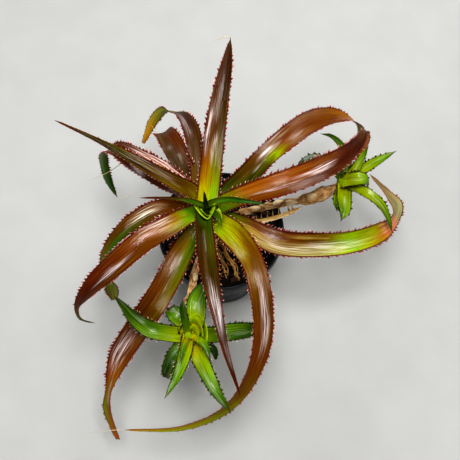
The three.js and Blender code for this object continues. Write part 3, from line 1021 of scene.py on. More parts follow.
@dataclass(frozen=True)
class DryFibre(Finish):
    """Dead plant tissue such as bark, root or straw, dried with its fibres lengthwise.

    The eye gets matt tan strands with dark furrows between them and blotches of age. The colour follows the
    same strands as the bump, darker in the furrows and paler on the ridges: partly the tissue's own colour
    and partly painted shade and painted highlight. The strands' width and run, the blotches and the furrows'
    depth are in millimetres.
    """

    roughness: float = 0.82
    # Partly painted shade and highlight: the dark end falls in the bump's furrows and the pale end on its
    # ridges
    stops: Stops = ((0.28, "#2E180C"), (0.44, "#966636"), (0.56, "#DCB078"), (0.74, "#FFE8BE"))
    strand: float = 0.7
    run: float = 9.0
    blotch: float = 5.0
    furrow: float = 0.5
    strand_share: float = 0.55
    blotch_share: float = 0.5

    def wire(self, tree: bpy.types.NodeTree, shader: bpy.types.Node) -> None:
        """Adds the strands, furrows and blotches.

        Args:
            tree: The material's node tree.
            shader: The material's shader.
        """
        metric = add_node(tree, "ShaderNodeUVMap", {"uv_map": METRIC_MAP})
        where = add_node(tree, "ShaderNodeTexCoord")
        strand_at = add_node(
            tree, "ShaderNodeMapping", values={"Scale": (1 / (self.strand * MM), 1 / (self.run * MM), 1.0)},
            links={"Vector": metric.outputs[0]},
        )
        strand = add_node(
            tree, "ShaderNodeTexNoise", values={"Scale": 1.0, "Detail": 5.0, "Roughness": 0.65},
            links={"Vector": strand_at.outputs[0]},
        )
        blotch = add_node(
            tree, "ShaderNodeTexNoise", values={"Scale": 1 / (self.blotch * MM), "Detail": 4.0},
            links={"Vector": where.outputs["Object"]},
        )
        tone = add_node(tree, "ShaderNodeAttribute", {"attribute_name": TONE})
        mixed = add_node(
            tree, "ShaderNodeMath", {"operation": "MULTIPLY_ADD"}, {FACTOR: self.strand_share},
            {0: strand.outputs["Fac"], ADDED: tone.outputs["Fac"]},
        )
        level = add_node(
            tree, "ShaderNodeMath", {"operation": "MULTIPLY_ADD"}, {FACTOR: self.blotch_share},
            {0: blotch.outputs["Fac"], ADDED: mixed.outputs[0]},
        )
        ramp = add_node(tree, "ShaderNodeValToRGB", links={0: level.outputs[0]}, stops=self.stops)
        bump = add_node(
            tree, "ShaderNodeBump", values={"Strength": 0.9, "Distance": self.furrow * MM},
            links={"Height": strand.outputs["Fac"]},
        )
        tree.links.new(ramp.outputs[0], shader.inputs["Base Color"])
        tree.links.new(bump.outputs[0], shader.inputs["Normal"])


@dataclass(frozen=True)
class PottingBark(Finish):
    """Potting mix of broken bark, damp and matt. The eye gets near-black crumbs and odd pale chips."""

    roughness: float = 0.9
    stops: Stops = ((0.2, "#0E0906"), (0.48, "#2C1C11"), (0.7, "#5C4028"), (0.9, "#B8946A"))
    crumb: float = 1.6
    crumb_share: float = 0.55
    crumb_height: float = 0.6

    def wire(self, tree: bpy.types.NodeTree, shader: bpy.types.Node) -> None:
        """Adds the crumbs, with each chip's own tone.

        Args:
            tree: The material's node tree.
            shader: The material's shader.
        """
        where = add_node(tree, "ShaderNodeTexCoord")
        crumb = add_node(
            tree, "ShaderNodeTexNoise",
            values={"Scale": 1 / (self.crumb * MM), "Detail": 6.0, "Roughness": 0.7},
            links={"Vector": where.outputs["Object"]},
        )
        tone = add_node(tree, "ShaderNodeAttribute", {"attribute_name": TONE})
        level = add_node(
            tree, "ShaderNodeMath", {"operation": "MULTIPLY_ADD"}, {FACTOR: self.crumb_share},
            {0: crumb.outputs["Fac"], ADDED: tone.outputs["Fac"]},
        )
        ramp = add_node(tree, "ShaderNodeValToRGB", links={0: level.outputs[0]}, stops=self.stops)
        bump = add_node(
            tree, "ShaderNodeBump", values={"Strength": 1.0, "Distance": self.crumb_height * MM},
            links={"Height": crumb.outputs["Fac"]},
        )
        tree.links.new(ramp.outputs[0], shader.inputs["Base Color"])
        tree.links.new(bump.outputs[0], shader.inputs["Normal"])


@dataclass(frozen=True)
class MouldedPolypropylene(Finish):
    """Black polypropylene, injection moulded. The eye gets soft gloss, fine upright ribs, dust and painted
    sheen.
    """

    roughness: float = 0.4
    ior: float = 1.49
    ribs: float = 130.0
    rib_top: float = 82.0
    rib_fade: float = 2.0
    rib_height: float = 0.3
    dust: float = 14.0
    # Dark to blue-grey over the dust noise: partly dust, partly painted sheen on the black plastic
    dust_and_sheen: Stops = ((0.35, "#0B0E12"), (0.6, "#1A2128"), (0.8, "#3E444A"))
    gloss_cut: Range = (0.3, 0.7)
    gloss_spread: Range = (-0.08, 0.2)

    def wire(self, tree: bpy.types.NodeTree, shader: bpy.types.Node) -> None:
        """Adds the upright ribs and the dust.

        Args:
            tree: The material's node tree.
            shader: The material's shader.
        """
        where = add_node(tree, "ShaderNodeTexCoord")
        split = add_node(tree, "ShaderNodeSeparateXYZ", links={0: where.outputs["Object"]})
        angle = add_node(
            tree, "ShaderNodeMath", {"operation": "ARCTAN2"},
            links={0: split.outputs["Y"], 1: split.outputs["X"]},
        )
        turns = add_node(
            tree, "ShaderNodeMath", {"operation": "MULTIPLY"}, {1: self.ribs}, {0: angle.outputs[0]}
        )
        wave = add_node(tree, "ShaderNodeMath", {"operation": "SINE"}, links={0: turns.outputs[0]})
        low = add_node(
            tree, "ShaderNodeMapRange",
            values={FROM_MIN: (self.rib_top + self.rib_fade) * MM, FROM_MAX: self.rib_top * MM},
            links={0: split.outputs["Z"]},
        )
        rib = add_node(
            tree, "ShaderNodeMath", {"operation": "MULTIPLY"}, links={0: wave.outputs[0], 1: low.outputs[0]}
        )
        dust = add_node(
            tree, "ShaderNodeTexNoise",
            values={"Scale": 1 / (self.dust * MM), "Detail": 8.0, "Roughness": 0.7},
            links={"Vector": where.outputs["Object"]},
        )
        colour = add_node(tree, "ShaderNodeValToRGB", links={0: dust.outputs["Fac"]}, stops=self.dust_and_sheen)
        gloss = add_node(
            tree, "ShaderNodeMapRange",
            values={
                FROM_MIN: self.gloss_cut[0], FROM_MAX: self.gloss_cut[1],
                TO_MIN: self.roughness + self.gloss_spread[0], TO_MAX: self.roughness + self.gloss_spread[1],
            },
            links={0: dust.outputs["Fac"]},
        )
        bump = add_node(
            tree, "ShaderNodeBump", values={"Strength": 0.5, "Distance": self.rib_height * MM},
            links={"Height": rib.outputs[0]},
        )
        tree.links.new(colour.outputs[0], shader.inputs["Base Color"])
        tree.links.new(gloss.outputs[0], shader.inputs["Roughness"])
        tree.links.new(bump.outputs[0], shader.inputs["Normal"])


@dataclass(frozen=True)
class StudioPaper(Finish):
    """Seamless backdrop paper, rolled matt. The eye gets an even pale grey with a faint tooth."""

    roughness: float = 0.95
    tooth: float = 40.0
    greys: Stops = ((0.3, "#AEAEAC"), (0.7, "#B2B2B0"))

    def wire(self, tree: bpy.types.NodeTree, shader: bpy.types.Node) -> None:
        """Adds the paper's faint tooth.

        Args:
            tree: The material's node tree.
            shader: The material's shader.
        """
        where = add_node(tree, "ShaderNodeTexCoord")
        tooth = add_node(
            tree, "ShaderNodeTexNoise", values={"Scale": 1 / (self.tooth * MM), "Detail": 3.0},
            links={"Vector": where.outputs["Object"]},
        )
        ramp = add_node(tree, "ShaderNodeValToRGB", links={0: tooth.outputs["Fac"]}, stops=self.greys)
        tree.links.new(ramp.outputs[0], shader.inputs["Base Color"])


THORN = ThornHorn("leaf thorn horn")
OFFSET_THORN = ThornHorn("offset thorn horn", stops=((0.1, "#241A08"), (0.5, "#54400E"), (0.9, "#F4F0CC")))
STRAW_THORN = ThornHorn("straw thorn horn", stops=((0.05, "#B08A50"), (0.5, "#DCC08C"), (0.9, "#F2E4C4")))
BARK = DryFibre("runner bark")
ROOT = DryFibre(
    "root fibre", strand=0.5, run=7.0, furrow=0.3,
    stops=((0.25, "#5A3414"), (0.42, "#B07C3A"), (0.58, "#DCAC66"), (0.8, "#F4D8A0")),
)
STRAW = DryFibre(
    "dried leaf straw", roughness=0.7, strand=0.6, run=22.0, blotch=9.0, furrow=0.35,
    stops=((0.25, "#7A4E1E"), (0.42, "#CC9C54"), (0.58, "#F0CC88"), (0.8, "#FFE8BC")),
)
WHISKER = DryFibre(
    "dried leaf thread", roughness=0.6, strand=0.3, run=8.0,
    stops=((0.25, "#8A7450"), (0.45, "#B8A47C"), (0.62, "#D4C49C"), (0.82, "#E8DCC0")),
)
SHEATH = LeafCuticle(
    "leaf sheath", left=((0, "#A4C02C"), (0.5, "#D0D844"), (1, "#A4C02C")),
    under=((0, "#B8D030"), (1, "#A8C424")),
    margin="#8CA828", margin_share=0.94, line="#E8EC90", depth=0.96,
)
# Painted shade: a near-black green plug set in the crown's hollow, where the cup lies in shadow
SHADE_PLUG_FINISH = LeafCuticle(
    "painted shade plug", left=((0, "#1A3006"), (1, "#22400A")), under=((0, "#1A3006"), (1, "#1A3006")),
    roughness=0.5,
    margin="#162A06", line="#2E5208", line_strength=0.2,
)
# Both offset finishes carry painted highlights: pale streak patches mixed into the colour
OFFSET_CUTICLE = LeafCuticle(
    "leaf cuticle offset",
    left=((0.1, "#D8DC08"), (0.22, "#CCC008"), (0.34, "#B8CC08"), (0.55, "#88B00A"), (0.85, "#5A8A0E"),
          (1, "#6A5A30")),
    right=((0.1, "#E0DC08"), (0.22, "#D4B80C"), (0.34, "#BECC08"), (0.55, "#7EA808"), (0.85, "#48780A"),
           (1, "#6A5030")),
    under=((0, "#7AA81A"), (0.5, "#6A9A30"), (1, "#4A6E2A")),
    shade=((0.15, "#A8C008"), (0.35, "#5E8A0E"), (0.6, "#3C5E1C"), (1, "#44503C")),
    margin="#1E2C08", line="#E8F0A0",
    blooms=(HighlightPatch(0.6, 0.25, 0.35, 0.2, 0.32), HighlightPatch(0.84, 0.1, 0.3, 0.3, 0.35)),
)
RIGHT_OFFSET_CUTICLE = LeafCuticle(
    "leaf cuticle right offset",
    left=((0.1, "#DCE010"), (0.4, "#C8DC0C"), (0.8, "#98C010"), (1, "#4A4A14")),
    right=((0.1, "#E0DC10"), (0.4, "#CCDC0C"), (0.8, "#84B00C"), (1, "#4A4010")),
    under=((0, "#7AA81A"), (0.5, "#6A9A30"), (1, "#4A6E2A")),
    shade=((0, "#5E8408"), (0.5, "#2E5A0A"), (1, "#1E3A08")),
    margin="#3A3008", line="#E8F0A0",
    blooms=(HighlightPatch(0.6, 0.25, 0.55, 0.16, 0.35),),
)
MIX = PottingBark("potting bark")
POT = MouldedPolypropylene("moulded polypropylene")


@dataclass(frozen=True)
class Thorns:
    """Hooked thorns along both margins of a blade."""

    pitch: float = 3.1
    pitch_range: Range = (0.7, 1.35)
    reach: float = 2.1
    base: float = 2.9
    thickness: float = 1.1
    size_range: Range = (0.55, 1.225)
    smallest: float = 0.25
    sunk: float = 0.45
    first: float = 15.0
    first_range: Range = (0.8, 1.2)
    last: float = 4.0
    full_half: float = 5.0
    least_half: float = 0.1
    hook: float = 1.1
    point: float = 0.06

    def template(self) -> bpy.types.Mesh:
        """Makes one thorn, one unit high and hooked forwards.

        Returns:
            The thorn's mesh.
        """
        name = f"thorn {self.hook}"
        known = bpy.data.meshes.get(name)
        if known:
            return known
        bm = bmesh.new()
        bmesh.ops.create_cone(bm, cap_ends=True, segments=5, radius1=1.0, radius2=self.point, depth=1.0)
        bmesh.ops.subdivide_edges(bm, edges=upright_edges(bm), cuts=2)
        for vert in bm.verts:
            height = vert.co.z + 0.5
            vert.co = Vector((vert.co.x + self.hook * height**2, vert.co.y, height))
        return use_up(bm, name)

    def add(self, bm: bmesh.types.BMesh, blade: Blade, draw: random.Random) -> None:
        """Sets the thorns on a blade.

        Args:
            bm: The mesh, in millimetres.
            blade: The blade that carries the thorns.
            draw: The seeded draw.
        """
        template = self.template()
        for margin in (-1.0, 1.0):
            reached = self.first * draw.uniform(*self.first_range)
            while reached < blade.length - self.last:
                share = reached / blade.length
                station = blade.station(share)
                size = min(1.0, self.smallest + (1 - self.smallest) * station.half / self.full_half)
                size *= draw.uniform(*self.size_range)
                slope = station.rise * blade.roundness / max(station.half, self.least_half)
                outward = (station.side * margin + station.face * slope).normalized()
                across = outward.cross(station.along).normalized()
                forward = across.cross(outward)
                foot = blade.surface(margin, 0.0, share) - outward * self.sunk
                axes = (
                    forward * (self.base / 2 * size), across * (self.thickness / 2 * size),
                    outward * ((self.reach + self.sunk) * size),
                )
                matrix = Matrix.Translation(foot) @ Matrix(axes).transposed().to_4x4()
                add_copy(bm, template, matrix, HORN)
                reached += self.pitch * draw.uniform(*self.pitch_range)


@dataclass(frozen=True)
class Collar:
    """The open rim of a young leaf's sheath, which stands on a bent line that turns left round a crown."""

    points: Sequence[Row]
    height: float = 8.0
    lean: float = 1.5
    thickness: float = 0.9
    end: float = 0.03
    sides: int = 18
    rows: int = 30

    def skin(self, bm: bmesh.types.BMesh, finish: int) -> None:
        """Adds the rim's closed skin.

        Args:
            bm: The mesh, in millimetres.
            finish: Index of the rim's finish.
        """
        route = Route([Vector(point) for point in self.points])

        def place(cosine: float, sine: float, share: float) -> Vector:
            """Stands the rim's point up on its line.

            Args:
                cosine: Height in the rim, from -1 at its foot to 1 at its edge.
                sine: Above 0 on the outer face and below 0 on the inner one.
                share: Share of the line's length.

            Returns:
                The point in millimetres.
            """
            up = (cosine + 1) / 2
            tall = math.sqrt(math.sin(math.pi * min(max(share, self.end), 1 - self.end)))
            outward = route.heading(share).cross(UP).normalized()
            out = self.lean * (up**2 - 1) + self.thickness / 2 * sine
            return route.place(share) + outward * out + UP * (self.height * (up - 1) * tall)

        spread = (self.height, route.length)
        add_tube(bm, self.sides, self.rows, place, spread, Wrap.BLADE, finish=finish)


# Leaves of the rosette


def stem_point(height: float) -> Vector:
    """Gives the stem's middle at a height."""
    return STEM_FOOT.lerp(STEM_TOP, (height - STEM_FOOT.z) / (STEM_TOP.z - STEM_FOOT.z))


@dataclass(frozen=True)
class LeafPlan:
    """One leaf of the rosette: where it leaves the stem, its route and its colours."""

    name: str
    heading: float
    seat: float
    fold: float
    rows: Sequence[Row]
    finish: LeafCuticle
    whiskers: Sequence[Sequence[Row]] = ()
    collars: Sequence[Collar] = ()
    # Points of a dark plug of painted shade in the crown's hollow
    shade_plug: Sequence[Row] = ()
    young: bool = False


def cuticle(name: str, left: Stops, right: Stops = (), under: Stops = (), **more: object) -> LeafCuticle:
    """Names a leaf's finish after its leaf."""
    return LeafCuticle(name=f"leaf cuticle {name}", left=left, right=right, under=under, **more)


# Each leaf's left and right ramps differ partly in the leaf's own colour and partly as painted light and
# shade on the gutter's two halves, and its patches are painted highlights
ROSETTE = (
    LeafPlan(
        "heart_up", 110, 175, 40, ((-4, 187, 4, 3.6), (-3, 205, 4, 1.2)),
        cuticle("heart up", ((0, "#6A9A10"), (0.4, "#2E5208"), (1, "#2E3A08")), margin="#1A2604"),
        young=True,
    ),
    LeafPlan(
        "heart_left", 176, 173, 40,
        ((11, 186, 7, 4.5), (21, 193, 8, 3.2), (36, 200, 11, 2), (50, 205, 14, 1.2)),
        cuticle(
            "heart left",
            ((0, "#8AB40A"), (0.3, "#5E8A0C"), (0.5, "#5E5A10"), (0.7, "#6A3F0E"), (1, "#7A3E12")),
            margin="#2E1C06", margin_share=0.62,
        ),
        young=True,
    ),
    LeafPlan(
        "heart_right", 5, 172, 40,
        ((6, 184, -6, 6), (16, 189, -7, 5), (26, 192, -10, 4), (45, 192, -14, 1.2)),
        cuticle(
            "heart right",
            ((0, "#A0B40A"), (0.3, "#648A0C"), (0.6, "#44780C"), (0.85, "#3E6A0C"), (1, "#4A4A0C")),
            margin="#2A1A04", margin_share=0.66,
        ),
        young=True,
    ),
    LeafPlan(
        "heart_low", -60, 170.5, 40, ((12, 178, -3, 5), (20, 184, -2, 4), (29, 186, -4, 1.2)),
        cuticle("heart low", ((0, "#A4C40A"), (0.4, "#4A7A0C"), (1, "#6A8A14")), margin="#1E2E08"),
        # Painted shade: a near-black green plug in the crown's hollow
        shade_plug=((-9, -19.5, 168), (-9, -20, 172), (-9, -20.5, 176)),
        collars=(
            Collar(
                ((-20.2, -16.5, 184), (-14.4, -23.5, 182), (-9, -26.5, 181), (-5.2, -21.9, 182),
                 (-2.5, -15.5, 185)),
                9, 2.5, 1.5,
            ),
            Collar(
                ((-15.2, -18.5, 182), (-11.4, -21.9, 180), (-8.3, -23.5, 180), (-6, -19.8, 181)), 5, 1, 0.8
            ),
            Collar(((-2.9, -31, 178), (1, -26.9, 180), (1.7, -22.3, 181), (-0.6, -17.7, 182)), 6, 2, 1.3),
        ),
        young=True,
    ),
    LeafPlan(
        "leaf_10", -83, 168, 38,
        ((17, 173, -5, 13), (38, 180, -6, 14), (61, 184, -6, 14), (91, 182, -4, 9), (119, 174, -1, 5),
         (151, 160, 6, 1.2)),
        cuticle(
            "10",
            # The grey-mauve stops at 0.56 and 0.7 on both sides are painted highlight on the leaf's bend
            ((0.07, "#6E9A0A"), (0.13, "#52700A"), (0.24, "#56600A"), (0.44, "#5A4A10"), (0.56, "#645650"),
             (0.7, "#6A5A58"), (0.82, "#5A3620"), (1, "#6A2310")),
            ((0.07, "#5E8A0A"), (0.13, "#564A08"), (0.24, "#5A4408"), (0.44, "#5A3E18"), (0.56, "#644A44"),
             (0.7, "#6A5654"), (0.82, "#5E311A"), (1, "#6A2310")),
            ((0, "#7A8A20"), (0.5, "#6A4A20"), (1, "#5A2714")),
            blooms=(HighlightPatch(0.58, 0.18, 0.5, 0.5, 0.9), HighlightPatch(0.8, 0.1, 0.7, 0.5, 0.4)),
        ),
    ),
    LeafPlan(
        "leaf_01", 82, 165, 24,
        ((10, 175, 1, 17), (25, 188, 1, 17), (52, 205, 1, 16), (78, 216, 0, 12.6), (98, 222, -1, 8.2),
         (118, 226, -1, 1.2)),
        cuticle(
            "01",
            ((0.1, "#E0DC02"), (0.19, "#C89C04"), (0.28, "#A87410"), (0.4, "#84551C"), (0.6, "#6E4514"),
             (0.8, "#5E3210"), (1, "#5A4A40")),
            ((0.1, "#A8D006"), (0.22, "#A4AC06"), (0.32, "#86780E"), (0.45, "#6A5010"), (0.65, "#543A10"),
             (0.82, "#4A2A0A"), (1, "#5A4A40")),
            ((0, "#8A8A20"), (0.4, "#7A4D20"), (1, "#5A3924")),
            blooms=(HighlightPatch(0.48, 0.2, 0.84, 0.22, 0.8), HighlightPatch(0.36, 0.12, 0.45, 0.26, 0.65)),
        ),
        whiskers=(((8.4, 107.7, 225.6), (4.8, 108.7, 226), (0.1, 107.6, 225), (-4.6, 106.4, 224)),),
    ),
    LeafPlan(
        "leaf_02", 149, 161.5, 45,
        ((18, 171, 0, 13), (33, 180, 3, 12), (60, 192, 7, 9), (93, 198, 9, 4), (133, 200, 12, 1.2)),
        cuticle(
            "02",
            ((0.05, "#A09A10"), (0.18, "#7A5A0C"), (0.4, "#5A3A10"), (0.6, "#4A3C12"), (0.8, "#4E3412"),
             (1, "#6E1620")),
            ((0.05, "#A49A14"), (0.2, "#86660E"), (0.4, "#6E4A12"), (0.6, "#5E5214"), (0.8, "#5E4E16"),
             (1, "#741824")),
            ((0, "#7A8A20"), (0.5, "#5A5A1C"), (1, "#5A2718")), line="#BCBC3C", line_strength=0.6,
            blooms=(HighlightPatch(0.36, 0.16, 0.35, 0.3, 0.35), HighlightPatch(0.5, 0.12, 0.16, 0.2, 0.5)),
        ),
    ),
    LeafPlan(
        "leaf_12", 213, 158, 24,
        ((17, 167, 0, 14), (38, 175, 2, 18), (61, 178, 3, 19), (88, 170, 5, 18), (109, 155, 4, 14),
         (127, 134, 4, 5, -15), (130, 118, 9, 2.5, -50), (122, 106, 15, 1.2, -60)),
        cuticle(
            "12",
            ((0.1, "#92C206"), (0.18, "#96940A"), (0.28, "#86560A"), (0.45, "#74450A"), (0.65, "#62310C"),
             (0.8, "#54210C"), (0.88, "#6A6A4A"), (1, "#8A967A")),
            ((0.1, "#92C206"), (0.18, "#B08A0A"), (0.28, "#9E620C"), (0.45, "#8A4E0C"), (0.65, "#78370C"),
             (0.8, "#64270C"), (0.88, "#6A6A4A"), (1, "#8A967A")),
            ((0, "#6A7A20"), (0.7, "#5E4A30"), (0.85, "#8A9478"), (1, "#7A866A")),
            blooms=(HighlightPatch(0.27, 0.11, 0.24, 0.38, 0.8), HighlightPatch(0.54, 0.16, 0.6, 0.16, 0.65)),
        ),
    ),
    LeafPlan(
        "leaf_07", 23, 154.5, 22,
        ((12, 162, -2, 15), (33, 174, -7, 17), (58, 181, -12, 20), (89, 178, -11, 19), (119, 167, -2, 14),
         (139.5, 155, 10, 9), (153, 143, 22, 5, -10), (155, 127, 20, 7, -40), (151.5, 114, 17, 6, -36),
         (144.5, 102, 12, 1.6, -30)),
        cuticle(
            "07",
            ((0.08, "#A4AC06"), (0.16, "#B87A04"), (0.34, "#A46006"), (0.46, "#8C5108"), (0.58, "#6E300A"),
             (0.68, "#5A200A"), (0.78, "#7A522A")),
            ((0.08, "#8CB406"), (0.16, "#925A08"), (0.34, "#784408"), (0.46, "#68330A"), (0.58, "#5A240A"),
             (0.68, "#501B0A"), (0.78, "#6A4724")),
            ((0.5, "#7A4E20"), (0.74, "#A08A50"), (0.84, "#D08A24"), (0.93, "#DA8018"), (1, "#C06A20")),
            blooms=(
                HighlightPatch(0.27, 0.12, 0.42, 0.1, 0.7), HighlightPatch(0.37, 0.07, 0.58, 0.08, 0.6),
                HighlightPatch(0.46, 0.09, 0.52, 0.24, 0.75),
            ),
        ),
    ),
    LeafPlan(
        "leaf_09", -40, 151, 22,
        ((13, 157, -4, 17), (32, 166, -7, 20), (58, 173, -16, 17), (79, 168, -31, 16), (99, 148, -53, 14),
         (108, 124, -79, 10), (105, 98, -106, 7), (85, 76, -136, 5), (48, 62, -167, 1.6)),
        cuticle(
            "09",
            ((0.08, "#C0C404"), (0.13, "#A89404"), (0.2, "#8C6004"), (0.3, "#80500E"), (0.4, "#7E5726"),
             (0.5, "#8A5B30"), (0.6, "#8A7020"), (0.72, "#9AA42E"), (0.88, "#B4BC48"), (1, "#DCB070")),
            ((0.08, "#B0C804"), (0.14, "#B0A804"), (0.22, "#907004"), (0.34, "#84560A"), (0.46, "#8A5010"),
             (0.6, "#8A601A"), (0.72, "#A89E30"), (0.88, "#C8A850"), (1, "#DCB070")),
            ((0, "#8A9A18"), (0.45, "#7A6A1C"), (0.62, "#7E8E24"), (0.85, "#96A034"), (1, "#B09048")),
            blooms=(HighlightPatch(0.37, 0.15, 0.6, 0.3, 0.8),), margin="#7A3018", margin_share=0.88,
        ),
        whiskers=(((-79.4, -167.8, 62), (-87.5, -167.6, 61), (-98.4, -168.7, 60), (-109.2, -169.9, 60)),),
    ),
    LeafPlan(
        "leaf_08", -4, 146.5, 18,
        ((14, 148, -2, 12), (30, 151, -10, 16), (54, 151, -21.5, 20), (83, 145, -20, 20),
         (116, 133, -10.5, 18), (143, 120, 6, 15.5), (156.5, 110, 22.5, 8), (160, 100, 41, 11.5, -38),
         (153.5, 92, 56, 5.5, -62),
         (139.5, 82, 78, 1.8, -70)),
        cuticle(
            "08",
            ((0.07, "#7A8E0A"), (0.15, "#8A560A"), (0.28, "#7A480A"), (0.38, "#7A5E10"), (0.44, "#8A9410"),
             (0.5, "#9CC004"), (0.61, "#B0B420"), (0.66, "#C4A488"), (0.71, "#D8B0A4"), (0.76, "#949A80"),
             (0.86, "#A89E88"), (1, "#9C8468")),
            # The pale cream stops from 0.15 to 0.45 on the right side are painted highlight
            ((0.07, "#8EA012"), (0.15, "#A08A50"), (0.25, "#B0A478"), (0.38, "#BCBA94"), (0.45, "#BCC878"),
             (0.5, "#A0C80A"), (0.6, "#B8A830"), (0.65, "#D0A48C"), (0.71, "#E0B0A4"), (0.76, "#949A80"),
             (0.86, "#A89E88"), (1, "#9C8468")),
            ((0.5, "#8A9A40"), (0.66, "#D8AC90"), (0.74, "#9A9A70"), (0.85, "#A89E88"), (0.93, "#B49C78"),
             (1, "#9C8468")),
            line="#EEE8C0", line_strength=0.5,
            blooms=(HighlightPatch(0.26, 0.14, 0.3, 0.3, 0.5), HighlightPatch(0.43, 0.15, 0.4, 0.34, 0.6)),
        ),
    ),
    LeafPlan(
        "leaf_11", 239, 142.5, 20,
        ((14, 146, -2, 13), (40, 153, 0, 19), (74, 145, 2, 20), (104, 124, -3, 20), (130, 104, -7, 17),
         (153, 87, -4, 6), (165, 73, 0, 7), (174, 58, 9, 6), (180.5, 46, 17.5, 4)),
        cuticle(
            "11",
            ((0.05, "#6E9408"), (0.2, "#7A8A0C"), (0.33, "#86761A"), (0.45, "#80581C"), (0.6, "#86511C"),
             (0.72, "#A87A38"), (0.85, "#9A6A24"), (1, "#D0742A")),
            ((0.05, "#8A8A0C"), (0.2, "#8A5E12"), (0.33, "#84500E"), (0.45, "#744610"), (0.6, "#6E3710"),
             (0.72, "#A06A4A"), (0.85, "#8A9A2E"), (1, "#C8782A")),
            ((0, "#6A8A20"), (0.6, "#6A5A20"), (0.8, "#7A7A20"), (1, "#9A601C")),
            blooms=(
                HighlightPatch(0.26, 0.1, 0.56, 0.1, 0.8), HighlightPatch(0.61, 0.13, 0.4, 0.42, 0.7),
                HighlightPatch(0.78, 0.08, 0.6, 0.3, 0.4),
            ),
        ),
    ),
    LeafPlan(
        "leaf_06", 39, 138.5, 20,
        ((25, 143, 7, 15), (43, 152, 5, 19), (65, 162, 6, 18), (89, 164, 7, 19.5), (118.5, 157, 8, 20),
         (143, 145, 3, 15), (156.5, 132, -4, 6, -15), (162, 118, -11, 6.5, -60), (158, 104, -13, 5, -50),
         (152, 94, -10, 1.6, -42)),
        cuticle(
            "06",
            ((0.1, "#4E6A08"), (0.2, "#66580E"), (0.3, "#805F3A"), (0.44, "#88531C"), (0.56, "#824F18"),
             (0.66, "#9A7140"), (0.78, "#B89068")),
            ((0.1, "#3E5E06"), (0.2, "#4E520A"), (0.3, "#6A6A12"), (0.355, "#B0C402"), (0.41, "#98680E"),
             (0.56, "#8A540E"), (0.66, "#84604E"), (0.78, "#B89068")),
            ((0.6, "#8A6140"), (0.76, "#9A9068"), (0.88, "#A89A78"), (1, "#B8A888")),
            blooms=(
                HighlightPatch(0.34, 0.08, 0.62, 0.16, 0.85), HighlightPatch(0.28, 0.05, 0.45, 0.1, 0.75),
                HighlightPatch(0.4, 0.08, 0.82, 0.2, 0.5),
            ),
        ),
    ),
    LeafPlan(
        "leaf_03", 145, 134.5, 22,
        ((26, 145, -7, 16), (50, 157, -3, 22), (72, 160, -1, 20), (96, 151, -3, 14), (109, 136, -1, 7, 25),
         (113, 116, 2, 8, 70), (107, 92, 7, 6.5, 60), (99, 72, 9, 1.4, 50)),
        cuticle(
            "03",
            ((0.1, "#6E5010"), (0.25, "#623C10"), (0.42, "#522B0C"), (0.6, "#5A4020"), (0.7, "#6A7A3A")),
            # The pale pink stops at 0.22 and 0.36 on the right side are painted highlight
            ((0.1, "#A87A3A"), (0.22, "#B88468"), (0.36, "#A87258"), (0.48, "#7A4324"), (0.6, "#6A4D2A"),
             (0.7, "#6A7A3A")),
            ((0.4, "#6A7A30"), (0.65, "#7A8E48"), (0.82, "#588424"), (0.95, "#427018"), (1, "#9A9A30")),
            blooms=(HighlightPatch(0.32, 0.24, 0.1, 0.34, 0.95), HighlightPatch(0.24, 0.12, 0.3, 0.2, 0.5)),
        ),
        whiskers=(
            ((-94.2, 39.9, 72.2), (-87.6, 41.8, 70), (-83, 43.4, 71), (-79.3, 47.5, 73)),
            ((-84.6, 54.7, 118), (-95.9, 47.9, 113), (-116.3, 41, 106)),
        ),
    ),
    LeafPlan(
        "leaf_04", 107, 130.5, 24,
        ((28, 139, 0, 12), (51, 147, -4, 12), (76, 150, -7, 14), (98, 140, -5, 10), (111, 128, 1, 4.5, 20),
         (124, 113, 8, 8, 60), (127, 92, 19, 8.5, 70), (122, 68, 31, 3.5, 65)),
        cuticle(
            "04",
            ((0.1, "#8A6A28"), (0.3, "#6E5638"), (0.45, "#64504A"), (0.58, "#6E625E"), (0.66, "#8A8A50"),
             (0.8, "#8AA42C"), (1, "#E0B020")),
            ((0.1, "#8A6A28"), (0.3, "#6A5334"), (0.45, "#5A4642"), (0.58, "#64544E"), (0.66, "#8A8A50"),
             (0.8, "#A8A82C"), (1, "#E0B020")),
            ((0.5, "#7A6A40"), (0.66, "#8AA034"), (0.82, "#B8AC24"), (0.93, "#E4B424"), (1, "#D89A20")),
            blooms=(HighlightPatch(0.48, 0.16, 0.7, 0.3, 0.3),), roughness=0.36,
        ),
    ),
    LeafPlan(
        "leaf_05", 117, 126.5, 20,
        ((34, 136, -1, 14), (51, 147, 0, 17), (66, 151, 0, 19), (85, 142, -1, 17), (97, 122, -2, 11),
         (98, 102, -6, 3)),
        cuticle(
            "05",
            roughness=0.4,
            left=((0.1, "#505608"), (0.35, "#54480E"), (0.55, "#5E3E12"), (0.75, "#6A4820"),
                  (1, "#7A5A30")),
            right=((0.1, "#5C4E0A"), (0.35, "#5E4010"), (0.55, "#744118"), (0.75, "#743D1A"),
                   (1, "#7A4320")),
            under=((0, "#6A6A20"), (0.5, "#8A5F28"), (1, "#A07A40")),
        ),
        whiskers=(((-48.4, 83.2, 102.6), (-56, 90, 101), (-61, 96.5, 98.5), (-64.5, 102.4, 96)),),
    ),
    LeafPlan(
        "leaf_13", 194, 122.5, 24,
        ((14, 131, -17, 11), (37.5, 144, -16.5, 14), (57.5, 144, -11, 15), (75, 133, -6.5, 11.5),
         (90.5, 112, 0.5, 8, -10), (94, 90, 10, 9, -30), (93, 76, 17, 11, -50), (94, 60, 22, 5, -52)),
        cuticle(
            "13",
            ((0.1, "#8A591A"), (0.3, "#7A4E20"), (0.45, "#5E6428"), (0.6, "#5A7E20"), (0.85, "#7E9A26"),
             (1, "#B0B048")),
